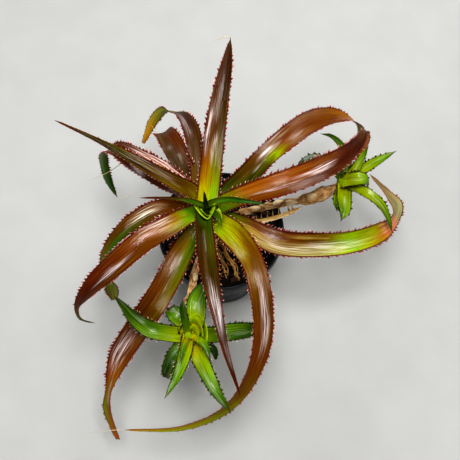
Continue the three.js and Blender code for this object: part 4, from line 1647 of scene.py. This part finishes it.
            ((0.1, "#96652A"), (0.3, "#8E5F30"), (0.45, "#84592C"), (0.6, "#7A6A34"), (0.85, "#7E8E26"),
             (1, "#B8AC50")),
            ((0.3, "#5E7A24"), (0.7, "#5A7A1E"), (0.95, "#748E1A"), (1, "#D8CC9A")),
            blooms=(HighlightPatch(0.36, 0.13, 0.4, 0.4, 0.85),), wax="#E4DEC4",
        ),
    ),
)


@dataclass
class RosetteLeaf:
    """One strap leaf with its thorns and the dried threads at its tip."""

    plan: LeafPlan
    thorns: Thorns = Thorns()
    whisker: Profile = ((0, 0.36), (0.6, 0.252), (1, 0.08))
    # Radii of the crown's dark plug, which is painted shade
    shade_plug: Profile = ((0, 4.5), (0.7, 5.5), (0.9, 4.5), (1, 2.5))

    def build(self) -> None:
        """Builds and dresses the leaf."""
        plan = self.plan
        blade = Blade(stem_point(plan.seat), CROWN, plan.heading, plan.rows, plan.fold)
        bm = new_mesh()
        blade.skin(bm)
        self.thorns.add(bm, blade, random.Random(plan.name))
        for points in plan.whiskers:
            Bar(points, self.whisker).skin(bm, sides=6, row=1.5, tone=0.1, finish=THREAD)
        for collar in plan.collars:
            collar.skin(bm, RIM)
        # The dark plug stands in for the shade in the crown's hollow
        if plan.shade_plug:
            Bar(plan.shade_plug, self.shade_plug, knobble=0.1).skin(bm, sides=18, finish=SHADE_PLUG_INDEX)
        slot = Slot.YOUNG if plan.young else Slot.LEAF
        keep(bm, f"{plan.name}_blade", (plan.finish, THORN, WHISKER, SHEATH, SHADE_PLUG_FINISH), slot, plan.name)


# Offsets


@dataclass(frozen=True)
class OffsetBlade:
    """One leaf of an offset, measured from the offset's middle, with its tone from bright 0 to dark 1."""

    heading: float
    rows: Sequence[Row]
    tone: float = 0.0


@dataclass
class Offset:
    """A young green rosette round a short bud."""

    name: str
    centre: Row
    blades: Sequence[OffsetBlade]
    fold: float = 24.0
    collars: Sequence[Collar] = ()
    bud: Profile = ((0, 3.0), (0.3, 6.0), (0.55, 6.2), (0.85, 3.0), (1, 0.6))
    bud_height: float = 14.0
    bud_foot: float = -6.0
    thorns: Thorns = Thorns(
        pitch=3.2, reach=1.9, base=2.5, thickness=0.9, first=7.0, last=3.0, full_half=4.0
    )
    finish: LeafCuticle = OFFSET_CUTICLE

    def build(self) -> None:
        """Builds and dresses the offset."""
        centre = Vector(self.centre)
        draw = random.Random(self.name)
        bm = new_mesh()
        foot, head = centre + UP * self.bud_foot, centre + UP * (self.bud_foot + self.bud_height)
        bud = Bar((foot, foot.lerp(head, 0.5), head), self.bud, knobble=0.02)
        bud.skin(bm, sides=20, finish=OFFSET_RIM)
        for collar in self.collars:
            collar.skin(bm, OFFSET_RIM)
        for plan in self.blades:
            blade = Blade(centre, centre, plan.heading, plan.rows, self.fold, ruffle_pitch=8.0)
            blade.skin(bm, sides=22, row=1.6, tone=plan.tone)
            self.thorns.add(bm, blade, draw)
        keep(bm, f"{self.name}_rosette", (self.finish, OFFSET_THORN, SHEATH), Slot.OFFSET, self.name)


OFFSETS = (
    Offset(
        "offset_front", (-25, -105, 130),
        (
            OffsetBlade(75, ((12, 12, -3, 16), (24, 16, -1, 15), (35, 15, -1, 9), (43, 12, 0, 1.2)), 0.12),
            OffsetBlade(99, ((5, 16, 0, 6), (15, 26, 1, 5), (22, 30, 0, 1.2)), 0.85),
            OffsetBlade(132, ((11, 7, -3, 14), (17.5, 9, -2, 13.5), (26, 7, 0, 4)), 0.1),
            OffsetBlade(
                151, ((15, 11, 9, 13), (26, 14, 13, 13), (41, 12, 11, 10), (54, 7, 6, 6), (69, -1, 0, 1.2)),
                0.92,
            ),
            OffsetBlade(
                8, ((21, 9, -5, 13), (31, 10, -5, 14), (42, 6, -4, 13), (52, 0, -2, 9), (59, -8, 0, 3)),
                0.85,
            ),
            OffsetBlade(240, ((21, -2, -2, 10), (30, -7, -1, 9), (35, -13, 0, 5)), 1.0),
            OffsetBlade(254, ((20, 18, 4, 10), (38, 24, 4, 7), (57, 25, 0, 1.2)), 0.0),
            OffsetBlade(
                298, ((23, 12, -1.5, 13), (43, 16, -2.5, 10.5), (56, 14, -2, 7), (71, 8, 1, 1.2)), 0.15
            ),
            OffsetBlade(321, ((22, -2, 4, 6), (28, -6, 0, 2)), 0.95),
            OffsetBlade(305, ((18, 18, 4, 6), (32, 26, 0, 1.2)), 0.0),
            OffsetBlade(261, ((18, 22, 0, 4), (28, 28, 0, 1.2)), 0.05),
        ),
        collars=(
            Collar(
                ((-9.8, -115.8, 143), (-9.1, -106.8, 145), (-11.5, -97.5, 146), (-18.6, -91.1, 146),
                 (-24.8, -94.6, 144)),
                9, 3,
            ),
            Collar(
                ((-12.9, -114.2, 143), (-12.9, -105.5, 146), (-16.1, -97.8, 147), (-21.6, -95.4, 147),
                 (-25.5, -98.9, 145)),
                10, 2,
            ),
            Collar(
                ((-16.8, -113.4, 143), (-16, -107.4, 147), (-19.1, -102.1, 148), (-23, -101.8, 147)),
                11, 1.5,
            ),
        ),
    ),
    Offset(
        "offset_right", (104, 27, 130),
        (
            OffsetBlade(23, ((15, 12, 0, 9), (28, 20, 0, 8), (45, 27, 0, 1.2)), 0.2),
            OffsetBlade(48, ((12, 16, -2, 8), (19, 24, -1, 6), (27, 31, 0, 1.2)), 0.1),
            OffsetBlade(112, ((18, 8, -10, 8), (31, 9, -10, 6), (41, 8, -7, 4), (49, 5, 0, 1.2)), 0.75),
            OffsetBlade(162, ((16, 6, -10, 9), (29, 8, -11, 9), (37, 7, -6, 6), (43, 3, 0, 1.2)), 0.9),
            OffsetBlade(262, ((21, 10, 1, 12), (31, 12, 2, 9), (39, 10, 0, 1.2)), 0.3),
            OffsetBlade(
                313, ((16, 11, 1, 10), (26, 12, 3, 9), (37, 8, 5, 8), (47, 1, 4, 5), (58, -6, 0, 1.2)), 0.4
            ),
            OffsetBlade(341, ((9, 14, -1, 14), (15, 15, 1, 12), (20, 9, 0, 4)), 0.15),
            OffsetBlade(256, ((18, 3, -2, 8), (27, 3, 0, 2)), 0.3),
        ),
        finish=RIGHT_OFFSET_CUTICLE,
    ),
)


# Woody parts


@dataclass
class Runner:
    """A woody runner with ringed joints, papery scales and a swollen sheath under its offset."""

    name: str
    points: Sequence[Row]
    profile: Profile = (
        (0, 2.6), (0.2, 2.6), (0.22, 3.5), (0.25, 2.7), (0.48, 2.7), (0.5, 3.8), (0.53, 2.8), (0.68, 3),
        (0.7, 4.4), (0.76, 5.2), (0.86, 6), (0.94, 4), (1, 3),
    )
    scales: int = 22
    scales_from: float = 0.1
    scales_run: float = 0.74
    scale_length: float = 9.0
    scale_length_range: Range = (0.8, 1.3)
    scale_width: float = 5.5
    scale_power: float = 2.2
    scale_tip: float = 0.02
    scale_lift: float = 0.55
    scale_lift_range: Range = (0.6, 1.8)
    scale_curl: float = 1.5
    scale_gap: float = 0.15
    scale_thickness: float = 0.32
    scale_tones: Range = (0.0, 0.22)
    scale_sides: int = 10
    scale_rows: int = 8
    furthest: float = 0.99

    def build(self) -> None:
        """Builds and dresses the runner."""
        draw = random.Random(self.name)
        bar = Bar(self.points, self.profile, knobble=0.1, grain=3.0)
        bm = new_mesh()
        bar.skin(bm, sides=20, row=0.9)
        for scale in range(self.scales):
            share = self.scales_from + self.scales_run * scale / self.scales
            turn = math.radians(GOLDEN_ANGLE * scale)
            self.add_scale(bm, bar, share, turn, draw)
        keep(bm, f"{self.name}_bark", (BARK,), Slot.BARK, self.name)

    def add_scale(
        self, bm: bmesh.types.BMesh, bar: Bar, share: float, turn: float, draw: random.Random
    ) -> None:
        """Adds one papery scale that wraps part of the runner.

        Args:
            bm: The mesh, in millimetres.
            bar: The runner's own shape.
            share: Where the scale is rooted.
            turn: The angle round the runner, in radians.
            draw: The seeded draw.
        """
        length = self.scale_length * draw.uniform(*self.scale_length_range)
        reach = length / bar.route.length
        lift = self.scale_lift * draw.uniform(*self.scale_lift_range)

        def place(cosine: float, sine: float, part: float) -> Vector:
            """Wraps the scale's point round the runner.

            Args:
                cosine: Place across the scale, from -1 to 1.
                sine: Above 0 on the outer face and below 0 on the inner one.
                part: Share of the scale's length.

            Returns:
                The point in millimetres.
            """
            here = min(share + reach * part, self.furthest)
            radius = bar.radius(here)
            spread = self.scale_width / radius * (1.0 - part**self.scale_power) / 2 + self.scale_tip
            angle = turn + spread * cosine
            skin = bar.surface(math.cos(angle), math.sin(angle), here)
            middle = bar.route.place(here)
            proud = self.scale_gap + lift * part**self.scale_curl + self.scale_thickness / 2 * sine
            return skin + (skin - middle).normalized() * proud

        size, tone = (self.scale_width, length), draw.uniform(*self.scale_tones)
        add_tube(bm, self.scale_sides, self.scale_rows, place, size, Wrap.BLADE, tone)


RUNNERS = (
    Runner(
        "runner_right",
        ((-5, 0, 106), (21, 10, 110), (35, 13, 112), (53, 16, 114), (79, 19, 120), (101, 26, 128)),
    ),
    Runner(
        "runner_front", ((-6, -4, 104), (-19, -37, 112), (-23, -59, 117), (-26, -81, 121), (-25, -102, 127))
    ),
)


@dataclass
class Root:
    """A loose root with finer rootlets that branch from it."""

    name: str
    points: Sequence[Row]
    profile: Profile = ((0, 0.85), (0.3, 0.75), (0.6, 0.62), (1, 0.48))
    strands: int = 3
    strand_tones: Range = (-0.08, 0.12)
    wander: float = 2.1
    kinks: int = 10
    rootlets: int = 8
    rootlet_profile: Profile = ((0, 0.42), (1, 0.168))
    rootlet_starts: Range = (0.15, 0.8)
    rootlet_fall: Range = (-0.9, 0.25)
    rootlet_reach: float = 13.0
    rootlet_steps: int = 3
    rootlet_tones: Range = (-0.1, 0.15)
    lowest: float = 84.0

    def build(self) -> None:
        """Builds and dresses the root."""
        draw = random.Random(self.name)
        bar = Bar(self.points, self.profile)
        bm = new_mesh()
        for _ in range(self.strands):
            points = []
            for kink in range(self.kinks + 1):
                sway = Vector([draw.uniform(-self.wander, self.wander) for _ in range(3)])
                there = bar.route.place(kink / self.kinks) + sway
                there.z = max(there.z, self.lowest)
                points.append(there)
            strand = Bar(points, self.profile, knobble=0.25, grain=1.8)
            strand.skin(bm, sides=9, row=0.9, tone=draw.uniform(*self.strand_tones))
        for _ in range(self.rootlets):
            points = [bar.route.place(draw.uniform(*self.rootlet_starts))]
            for _ in range(self.rootlet_steps):
                step = Vector((draw.uniform(-1, 1), draw.uniform(-1, 1), draw.uniform(*self.rootlet_fall)))
                there = points[-1] + step.normalized() * (self.rootlet_reach / self.rootlet_steps)
                there.z = max(there.z, self.lowest)
                points.append(there)
            rootlet = Bar(points, self.rootlet_profile, knobble=0.2, grain=1.5)
            rootlet.skin(bm, sides=6, row=1.2, tone=draw.uniform(*self.rootlet_tones))
        keep(bm, f"{self.name}_fibres", (ROOT,), Slot.ROOT, self.name)


ROOTS = (
    Root("root_1", ((-5, -4, 102), (5, -25, 98), (12, -37, 98), (14, -43, 93), (14, -44, 84))),
    Root("root_2", ((-5, -2, 98), (-2, -22, 95), (3, -33, 95), (5, -41, 91), (3, -43, 84))),
    Root("root_3", ((-4, 0, 98), (-22, -8, 97), (-33, -18, 93), (-36, -24, 84))),
)


@dataclass
class StrawLeaf:
    """The dead leaf that lies along the right runner."""

    name: str = "old_leaf_right"
    points: Sequence[Row] = ((12, 4, 106), (32, 3, 106), (47, 6, 107), (62, 11, 109), (70, 15, 110.5))
    width: float = 3.4
    narrowing: float = 0.5
    fold: float = 20.0
    strand: Sequence[Row] = (
        (15, 2, 105.8), (28, 0.6, 107), (44, 3.2, 107.6), (58, 7.6, 108.8), (69, 13.4, 110.4),
    )
    strand_profile: Profile = ((0, 0.5), (0.5, 0.8), (0.85, 0.6), (1, 0.3))
    thorns: Thorns = Thorns(
        pitch=4.2, reach=4.4, base=2.0, thickness=0.8, first=9.0, last=8.0, full_half=1.2
    )

    def build(self) -> None:
        """Builds and dresses the dead leaf."""
        count = len(self.points) - 1
        rows = [
            (x, z, y, self.width * (1.0 - self.narrowing * (index / count) ** 2))
            for index, (x, y, z) in enumerate(self.points[1:], start=1)
        ]
        blade = Blade(Vector(self.points[0]), Vector(), 0.0, rows, self.fold, cup=0.0, ruffle=0.6)
        bm = new_mesh()
        blade.skin(bm, sides=20, row=1.2)
        self.thorns.add(bm, blade, random.Random(self.name))
        Bar(self.strand, self.strand_profile, knobble=0.35, grain=2.2).skin(bm, sides=9, tone=0.2)
        keep(bm, f"{self.name}_straw", (STRAW, STRAW_THORN), Slot.STRAW, self.name)


@dataclass
class Stem:
    """The short woody stem, with dry stubs of dead leaves and loose fibres round it."""

    profile: Profile = ((0, 5), (0.25, 8.5), (0.55, 9), (0.8, 7.5), (0.93, 5), (1, 2.5))
    visible: float = 0.88
    stubs: int = 8
    stub_lowest: float = 92.0
    stub_rise: float = 2.8
    stub_fold: float = 22.0
    stub_rows: Sequence[Row] = ((9, 3, 0, 9), (13, 10, 0, 7), (17, 15, 0, 2))
    fibres: int = 46
    fibre_profile: Profile = ((0, 0.3), (1, 0.105))
    fibre_heights: Range = (92.0, 146.0)
    fibre_root: float = 0.9
    fibre_steps: int = 3
    fibre_sway: Range = (-1.5, 1.5)
    fibre_fall: Range = (-3.5, 1.0)
    fibre_reach: Range = (1.0, 4.0)
    tones: Range = (0.0, 0.25)

    def build(self) -> None:
        """Builds and dresses the stem."""
        draw = random.Random("stem")
        top = STEM_FOOT.lerp(STEM_TOP, self.visible)
        bar = Bar((STEM_FOOT, STEM_FOOT.lerp(top, 0.5), top), self.profile, knobble=0.12, grain=5.0)
        bm = new_mesh()
        bar.skin(bm, sides=28, row=1.5)
        for stub in range(self.stubs):
            start = stem_point(self.stub_lowest + self.stub_rise * stub)
            turn = GOLDEN_ANGLE * stub
            blade = Blade(start, start, turn, self.stub_rows, self.stub_fold, ruffle=1.2, ruffle_pitch=5.0)
            blade.skin(bm, sides=16, row=1.4, tone=draw.uniform(*self.tones))
        for fibre in range(self.fibres):
            self.add_fibre(bm, bar, math.radians(GOLDEN_ANGLE * fibre), draw)
        keep(bm, "stem_wood", (BARK,), Slot.BARK, "stem")

    def add_fibre(self, bm: bmesh.types.BMesh, bar: Bar, turn: float, draw: random.Random) -> None:
        """Adds one loose fibre that hangs from the stem.

        Args:
            bm: The mesh, in millimetres.
            bar: The stem's own shape.
            turn: The angle round the stem, in radians.
            draw: The seeded draw.
        """
        height = draw.uniform(*self.fibre_heights)
        share = (height - STEM_FOOT.z) / (STEM_TOP.z - STEM_FOOT.z)
        outward = Vector((math.cos(turn), math.sin(turn), 0.0))
        points = [bar.route.place(share) + outward * bar.radius(share) * self.fibre_root]
        for step in range(self.fibre_steps):
            reaches = (self.fibre_sway, self.fibre_sway, self.fibre_fall)
            sway = Vector([draw.uniform(*reach) for reach in reaches])
            points.append(points[-1] + outward * draw.uniform(*self.fibre_reach) / (step + 1) + sway)
        fibre = Bar(points, self.fibre_profile, knobble=0.2, grain=1.5)
        fibre.skin(bm, sides=5, row=1.5, tone=draw.uniform(*self.tones))


# Pot and bark mix


@dataclass
class NurseryPot:
    """A round nursery pot with a stepped rim band, a foot ring, a middle pad and drain holes."""

    rim_radius: float = 55.0
    rim_band: float = 10.0
    rim_step: float = 2.5
    base_radius: float = 38.0
    height: float = 95.0
    wall: float = 1.6
    floor: float = 4.0
    foot_width: float = 6.0
    pad: float = 10.0
    holes: int = 6
    hole_radius: float = 4.0
    hole_circle: float = 23.0
    steps: int = 128
    softening: float = 0.45
    neck_draft: float = 0.05
    rim_top: Profile = ((0, 1), (0.3, 0.3), (0.9, 0), (1.5, 0.1), (1.6, 0.5))

    def build(self) -> None:
        """Builds and dresses the pot."""
        rim, band, neck = self.rim_radius, self.height - self.rim_band, self.rim_radius - self.rim_step
        base, foot, floor = self.base_radius, self.base_radius - self.foot_width, self.floor
        wall, lip = self.wall, self.softening
        profile = (
            (0, 0), (self.pad - lip, 0), (self.pad, lip), (self.pad, floor - wall),
            (foot, floor - wall), (foot, lip), (foot + lip, 0), (base - lip, 0), (base, lip),
            (neck - self.neck_draft, band - lip), (neck + lip, band), (rim - lip, band), (rim, band + lip),
            *((rim - inward, self.height - down) for inward, down in self.rim_top),
            (rim - wall, band + wall + lip), (rim - wall - lip, band + wall),
            (neck - wall + lip, band + wall), (neck - wall, band + wall - lip),
            (base - wall, floor + lip), (base - wall - lip, floor), (0, floor),
        )
        piece = keep(turned(profile, self.steps), "pot_shell", (POT,), Slot.POT, "pot")
        self.drill(piece)

    def drill(self, piece: bpy.types.Object) -> None:
        """Drills the drain holes through the pot's floor.

        Args:
            piece: The pot.
        """
        bm = bmesh.new()
        radius, depth = self.hole_radius * MM, 4 * self.floor * MM
        for hole in range(self.holes):
            turn = 2 * math.pi * hole / self.holes
            middle = Vector((math.cos(turn), math.sin(turn), 0.0)) * self.hole_circle * MM
            bmesh.ops.create_cone(
                bm, cap_ends=True, segments=24, radius1=radius, radius2=radius, depth=depth,
                matrix=Matrix.Translation(middle),
            )
        drills = bpy.data.objects.new("drills", use_up(bm, "drills"))
        bpy.context.scene.collection.objects.link(drills)
        cut = piece.modifiers.new("drain holes", "BOOLEAN")
        cut.operation, cut.solver, cut.object = "DIFFERENCE", "EXACT", drills
        evaluated = piece.evaluated_get(bpy.context.evaluated_depsgraph_get())
        drilled = bpy.data.meshes.new_from_object(evaluated)
        piece.modifiers.remove(cut)
        piece.data = drilled
        bpy.data.objects.remove(drills)


@dataclass
class BarkMix:
    """The bark mix that fills the pot: a lumpy plug, bark chips and pale crumbs."""

    top: float = 87.0
    foot: float = 4.35
    shoulder: float = 85.0
    foot_radius: float = 36.0
    shoulder_radius: float = 50.4
    rings: int = 26
    steps: int = 96
    relief: float = 1.5
    relief_pitch: float = 9.0
    fine_pitch: float = 3.1
    fine_share: float = 0.8
    chips: int = 230
    chip_size: Row = (7.0, 4.0, 2.4)
    chip_range: Range = (0.55, 1.25)
    chip_tones: Row = (-0.1, -0.05, 0.0, 0.1, 0.3)
    chip_shapes: int = 5
    jitter: float = 0.13
    corner: float = 0.8
    corner_wear: float = 0.85
    crumbs: int = 220
    crumb_size: Row = (1.0, 0.9, 0.8)
    crumb_range: Range = (0.8, 1.9)
    crumb_tones: Row = (0.1, 0.35, 0.55, 0.75)
    tilts: Range = (-0.45, 0.45)
    lifts: Range = (-0.4, 2.0)
    ring_limit: float = 47.0

    def build(self) -> None:
        """Builds and dresses the bark mix."""
        draw = random.Random("bark mix")
        bm = new_mesh()
        merge(bm, self.plug())
        templates = [self.chip_mesh(shape) for shape in range(self.chip_shapes)]
        for chip in range(self.chips + self.crumbs):
            small = chip >= self.chips
            turn = math.radians(GOLDEN_ANGLE * chip)
            radius = self.ring_limit * math.sqrt(draw.random() if small else (chip + 0.5) / self.chips)
            size = Vector(self.chip_size) * draw.uniform(*self.chip_range)
            if small:
                size = Vector(self.crumb_size) * draw.uniform(*self.crumb_range)
            spin = Matrix.Rotation(draw.uniform(0, 2 * math.pi), 4, "Z")
            nod = Matrix.Rotation(draw.uniform(*self.tilts), 4, "X")
            roll = Matrix.Rotation(draw.uniform(*self.tilts), 4, "Y")
            height = self.top + draw.uniform(*self.lifts)
            place = Vector((radius * math.cos(turn), radius * math.sin(turn), height))
            matrix = Matrix.Translation(place) @ spin @ (nod @ roll) @ Matrix.Diagonal((*size, 1.0))
            tone = draw.choice(self.crumb_tones if small else self.chip_tones)
            add_copy(bm, templates[chip % len(templates)], matrix, tone=tone)
        keep(bm, "bark_mix_fill", (MIX,), Slot.MIX, "soil")

    def plug(self) -> bmesh.types.BMesh:
        """Makes the plug of mix with its lumpy top.

        Returns:
            The plug's mesh, in millimetres.
        """
        shrink = [1 - ring / self.rings for ring in range(1, self.rings + 1)]
        plug = turned(
            (
                (0.0, self.foot), (self.foot_radius, self.foot), (self.shoulder_radius, self.shoulder),
                *((self.shoulder_radius * share, self.top) for share in shrink),
            ),
            self.steps,
        )
        for vert in plug.verts:
            if vert.co.z > (self.shoulder + self.top) / 2:
                lump = noise.noise(vert.co / self.relief_pitch)
                lump += self.fine_share * noise.noise(vert.co / self.fine_pitch)
                vert.co.z += self.relief * lump
        return plug

    def chip_mesh(self, shape: int) -> bpy.types.Mesh:
        """Makes one broken chip of unit size.

        Args:
            shape: Number of the chip's shape.

        Returns:
            The chip's mesh.
        """
        name = f"chip {shape}"
        draw = random.Random(name)
        bm = bmesh.new()
        bmesh.ops.create_cube(bm, size=1.0)
        bmesh.ops.subdivide_edges(bm, edges=bm.edges, cuts=1, use_grid_fill=True)
        for vert in bm.verts:
            vert.co += Vector([draw.uniform(-self.jitter, self.jitter) for _ in range(3)])
            vert.co *= self.corner_wear if vert.co.length > self.corner else 1.0
        return use_up(bm, name)


# Studio


@dataclass(frozen=True)
class SoftBox:
    """One soft studio light: its place and aim in metres, its side and its power in watts."""

    name: str
    place: Row
    size: float
    power: float
    aim: Row = (0.0, 0.0, 0.14)


@dataclass
class Studio:
    """The camera, the pale floor and the soft lights."""

    elevation: float = 68.0
    distance: float = 0.75
    target: Row = (0.0079, 0.0, 0.095)
    lens: float = 67.23
    shift: float = -1 / PHOTO_SIDE
    nearest: float = 0.01
    floor_side: float = 60.0
    ambient: float = 0.1
    boxes: Sequence[SoftBox] = (
        SoftBox("overhead", (0.05, -0.2, 1.5), 0.5, 17.0),
        SoftBox("behind", (0.15, 1.1, 0.95), 0.45, 7.0),
        SoftBox("left", (-1.1, -0.35, 0.8), 0.35, 4.0),
        SoftBox("right", (1.0, 0.4, 0.9), 0.35, 3.0),
    )

    def build(self) -> None:
        """Sets up the studio."""
        scene = bpy.context.scene
        scene.view_settings.view_transform = "Standard"
        scene.view_settings.look = "High Contrast"
        rise = math.radians(self.elevation)
        target = Vector(self.target)
        camera = bpy.data.objects.new("camera", bpy.data.cameras.new("camera"))
        camera.data.lens = self.lens
        camera.data.shift_y = self.shift
        camera.data.clip_start = self.nearest
        camera.location = target + Vector((0.0, -math.cos(rise), math.sin(rise))) * self.distance
        camera.rotation_euler = (target - camera.location).to_track_quat("-Z", "Y").to_euler()
        scene.collection.objects.link(camera)
        scene.camera = camera
        for box in self.boxes:
            lamp = bpy.data.lights.new(box.name, "AREA")
            lamp.shape, lamp.size, lamp.energy = "SQUARE", box.size, box.power
            light = bpy.data.objects.new(box.name, lamp)
            light.location = box.place
            light.rotation_euler = (Vector(box.aim) - light.location).to_track_quat("-Z", "Y").to_euler()
            scene.collection.objects.link(light)
        world = bpy.data.worlds.new("studio")
        world.use_nodes = True
        background = world.node_tree.nodes["Background"]
        background.inputs["Color"].default_value = linear("#F2F3F5")
        background.inputs["Strength"].default_value = self.ambient
        scene.world = world
        bm = bmesh.new()
        bmesh.ops.create_grid(bm, x_segments=1, y_segments=1, size=self.floor_side / 2)
        mesh = use_up(bm, "floor")
        mesh.materials.append(StudioPaper("backdrop paper").material())
        floor = bpy.data.objects.new("floor", mesh)
        scene.collection.objects.link(floor)


def main() -> None:
    """Builds the studio and the plant in order."""
    logging.basicConfig(level=logging.INFO, format="%(message)s", force=True)
    Studio().build()
    NurseryPot().build()
    BarkMix().build()
    Stem().build()
    for part in (*RUNNERS, *ROOTS, StrawLeaf(), *OFFSETS):
        part.build()
    for plan in ROSETTE:
        RosetteLeaf(plan).build()
    bpy.context.view_layer.update()


if __name__ == "__main__":
    main()
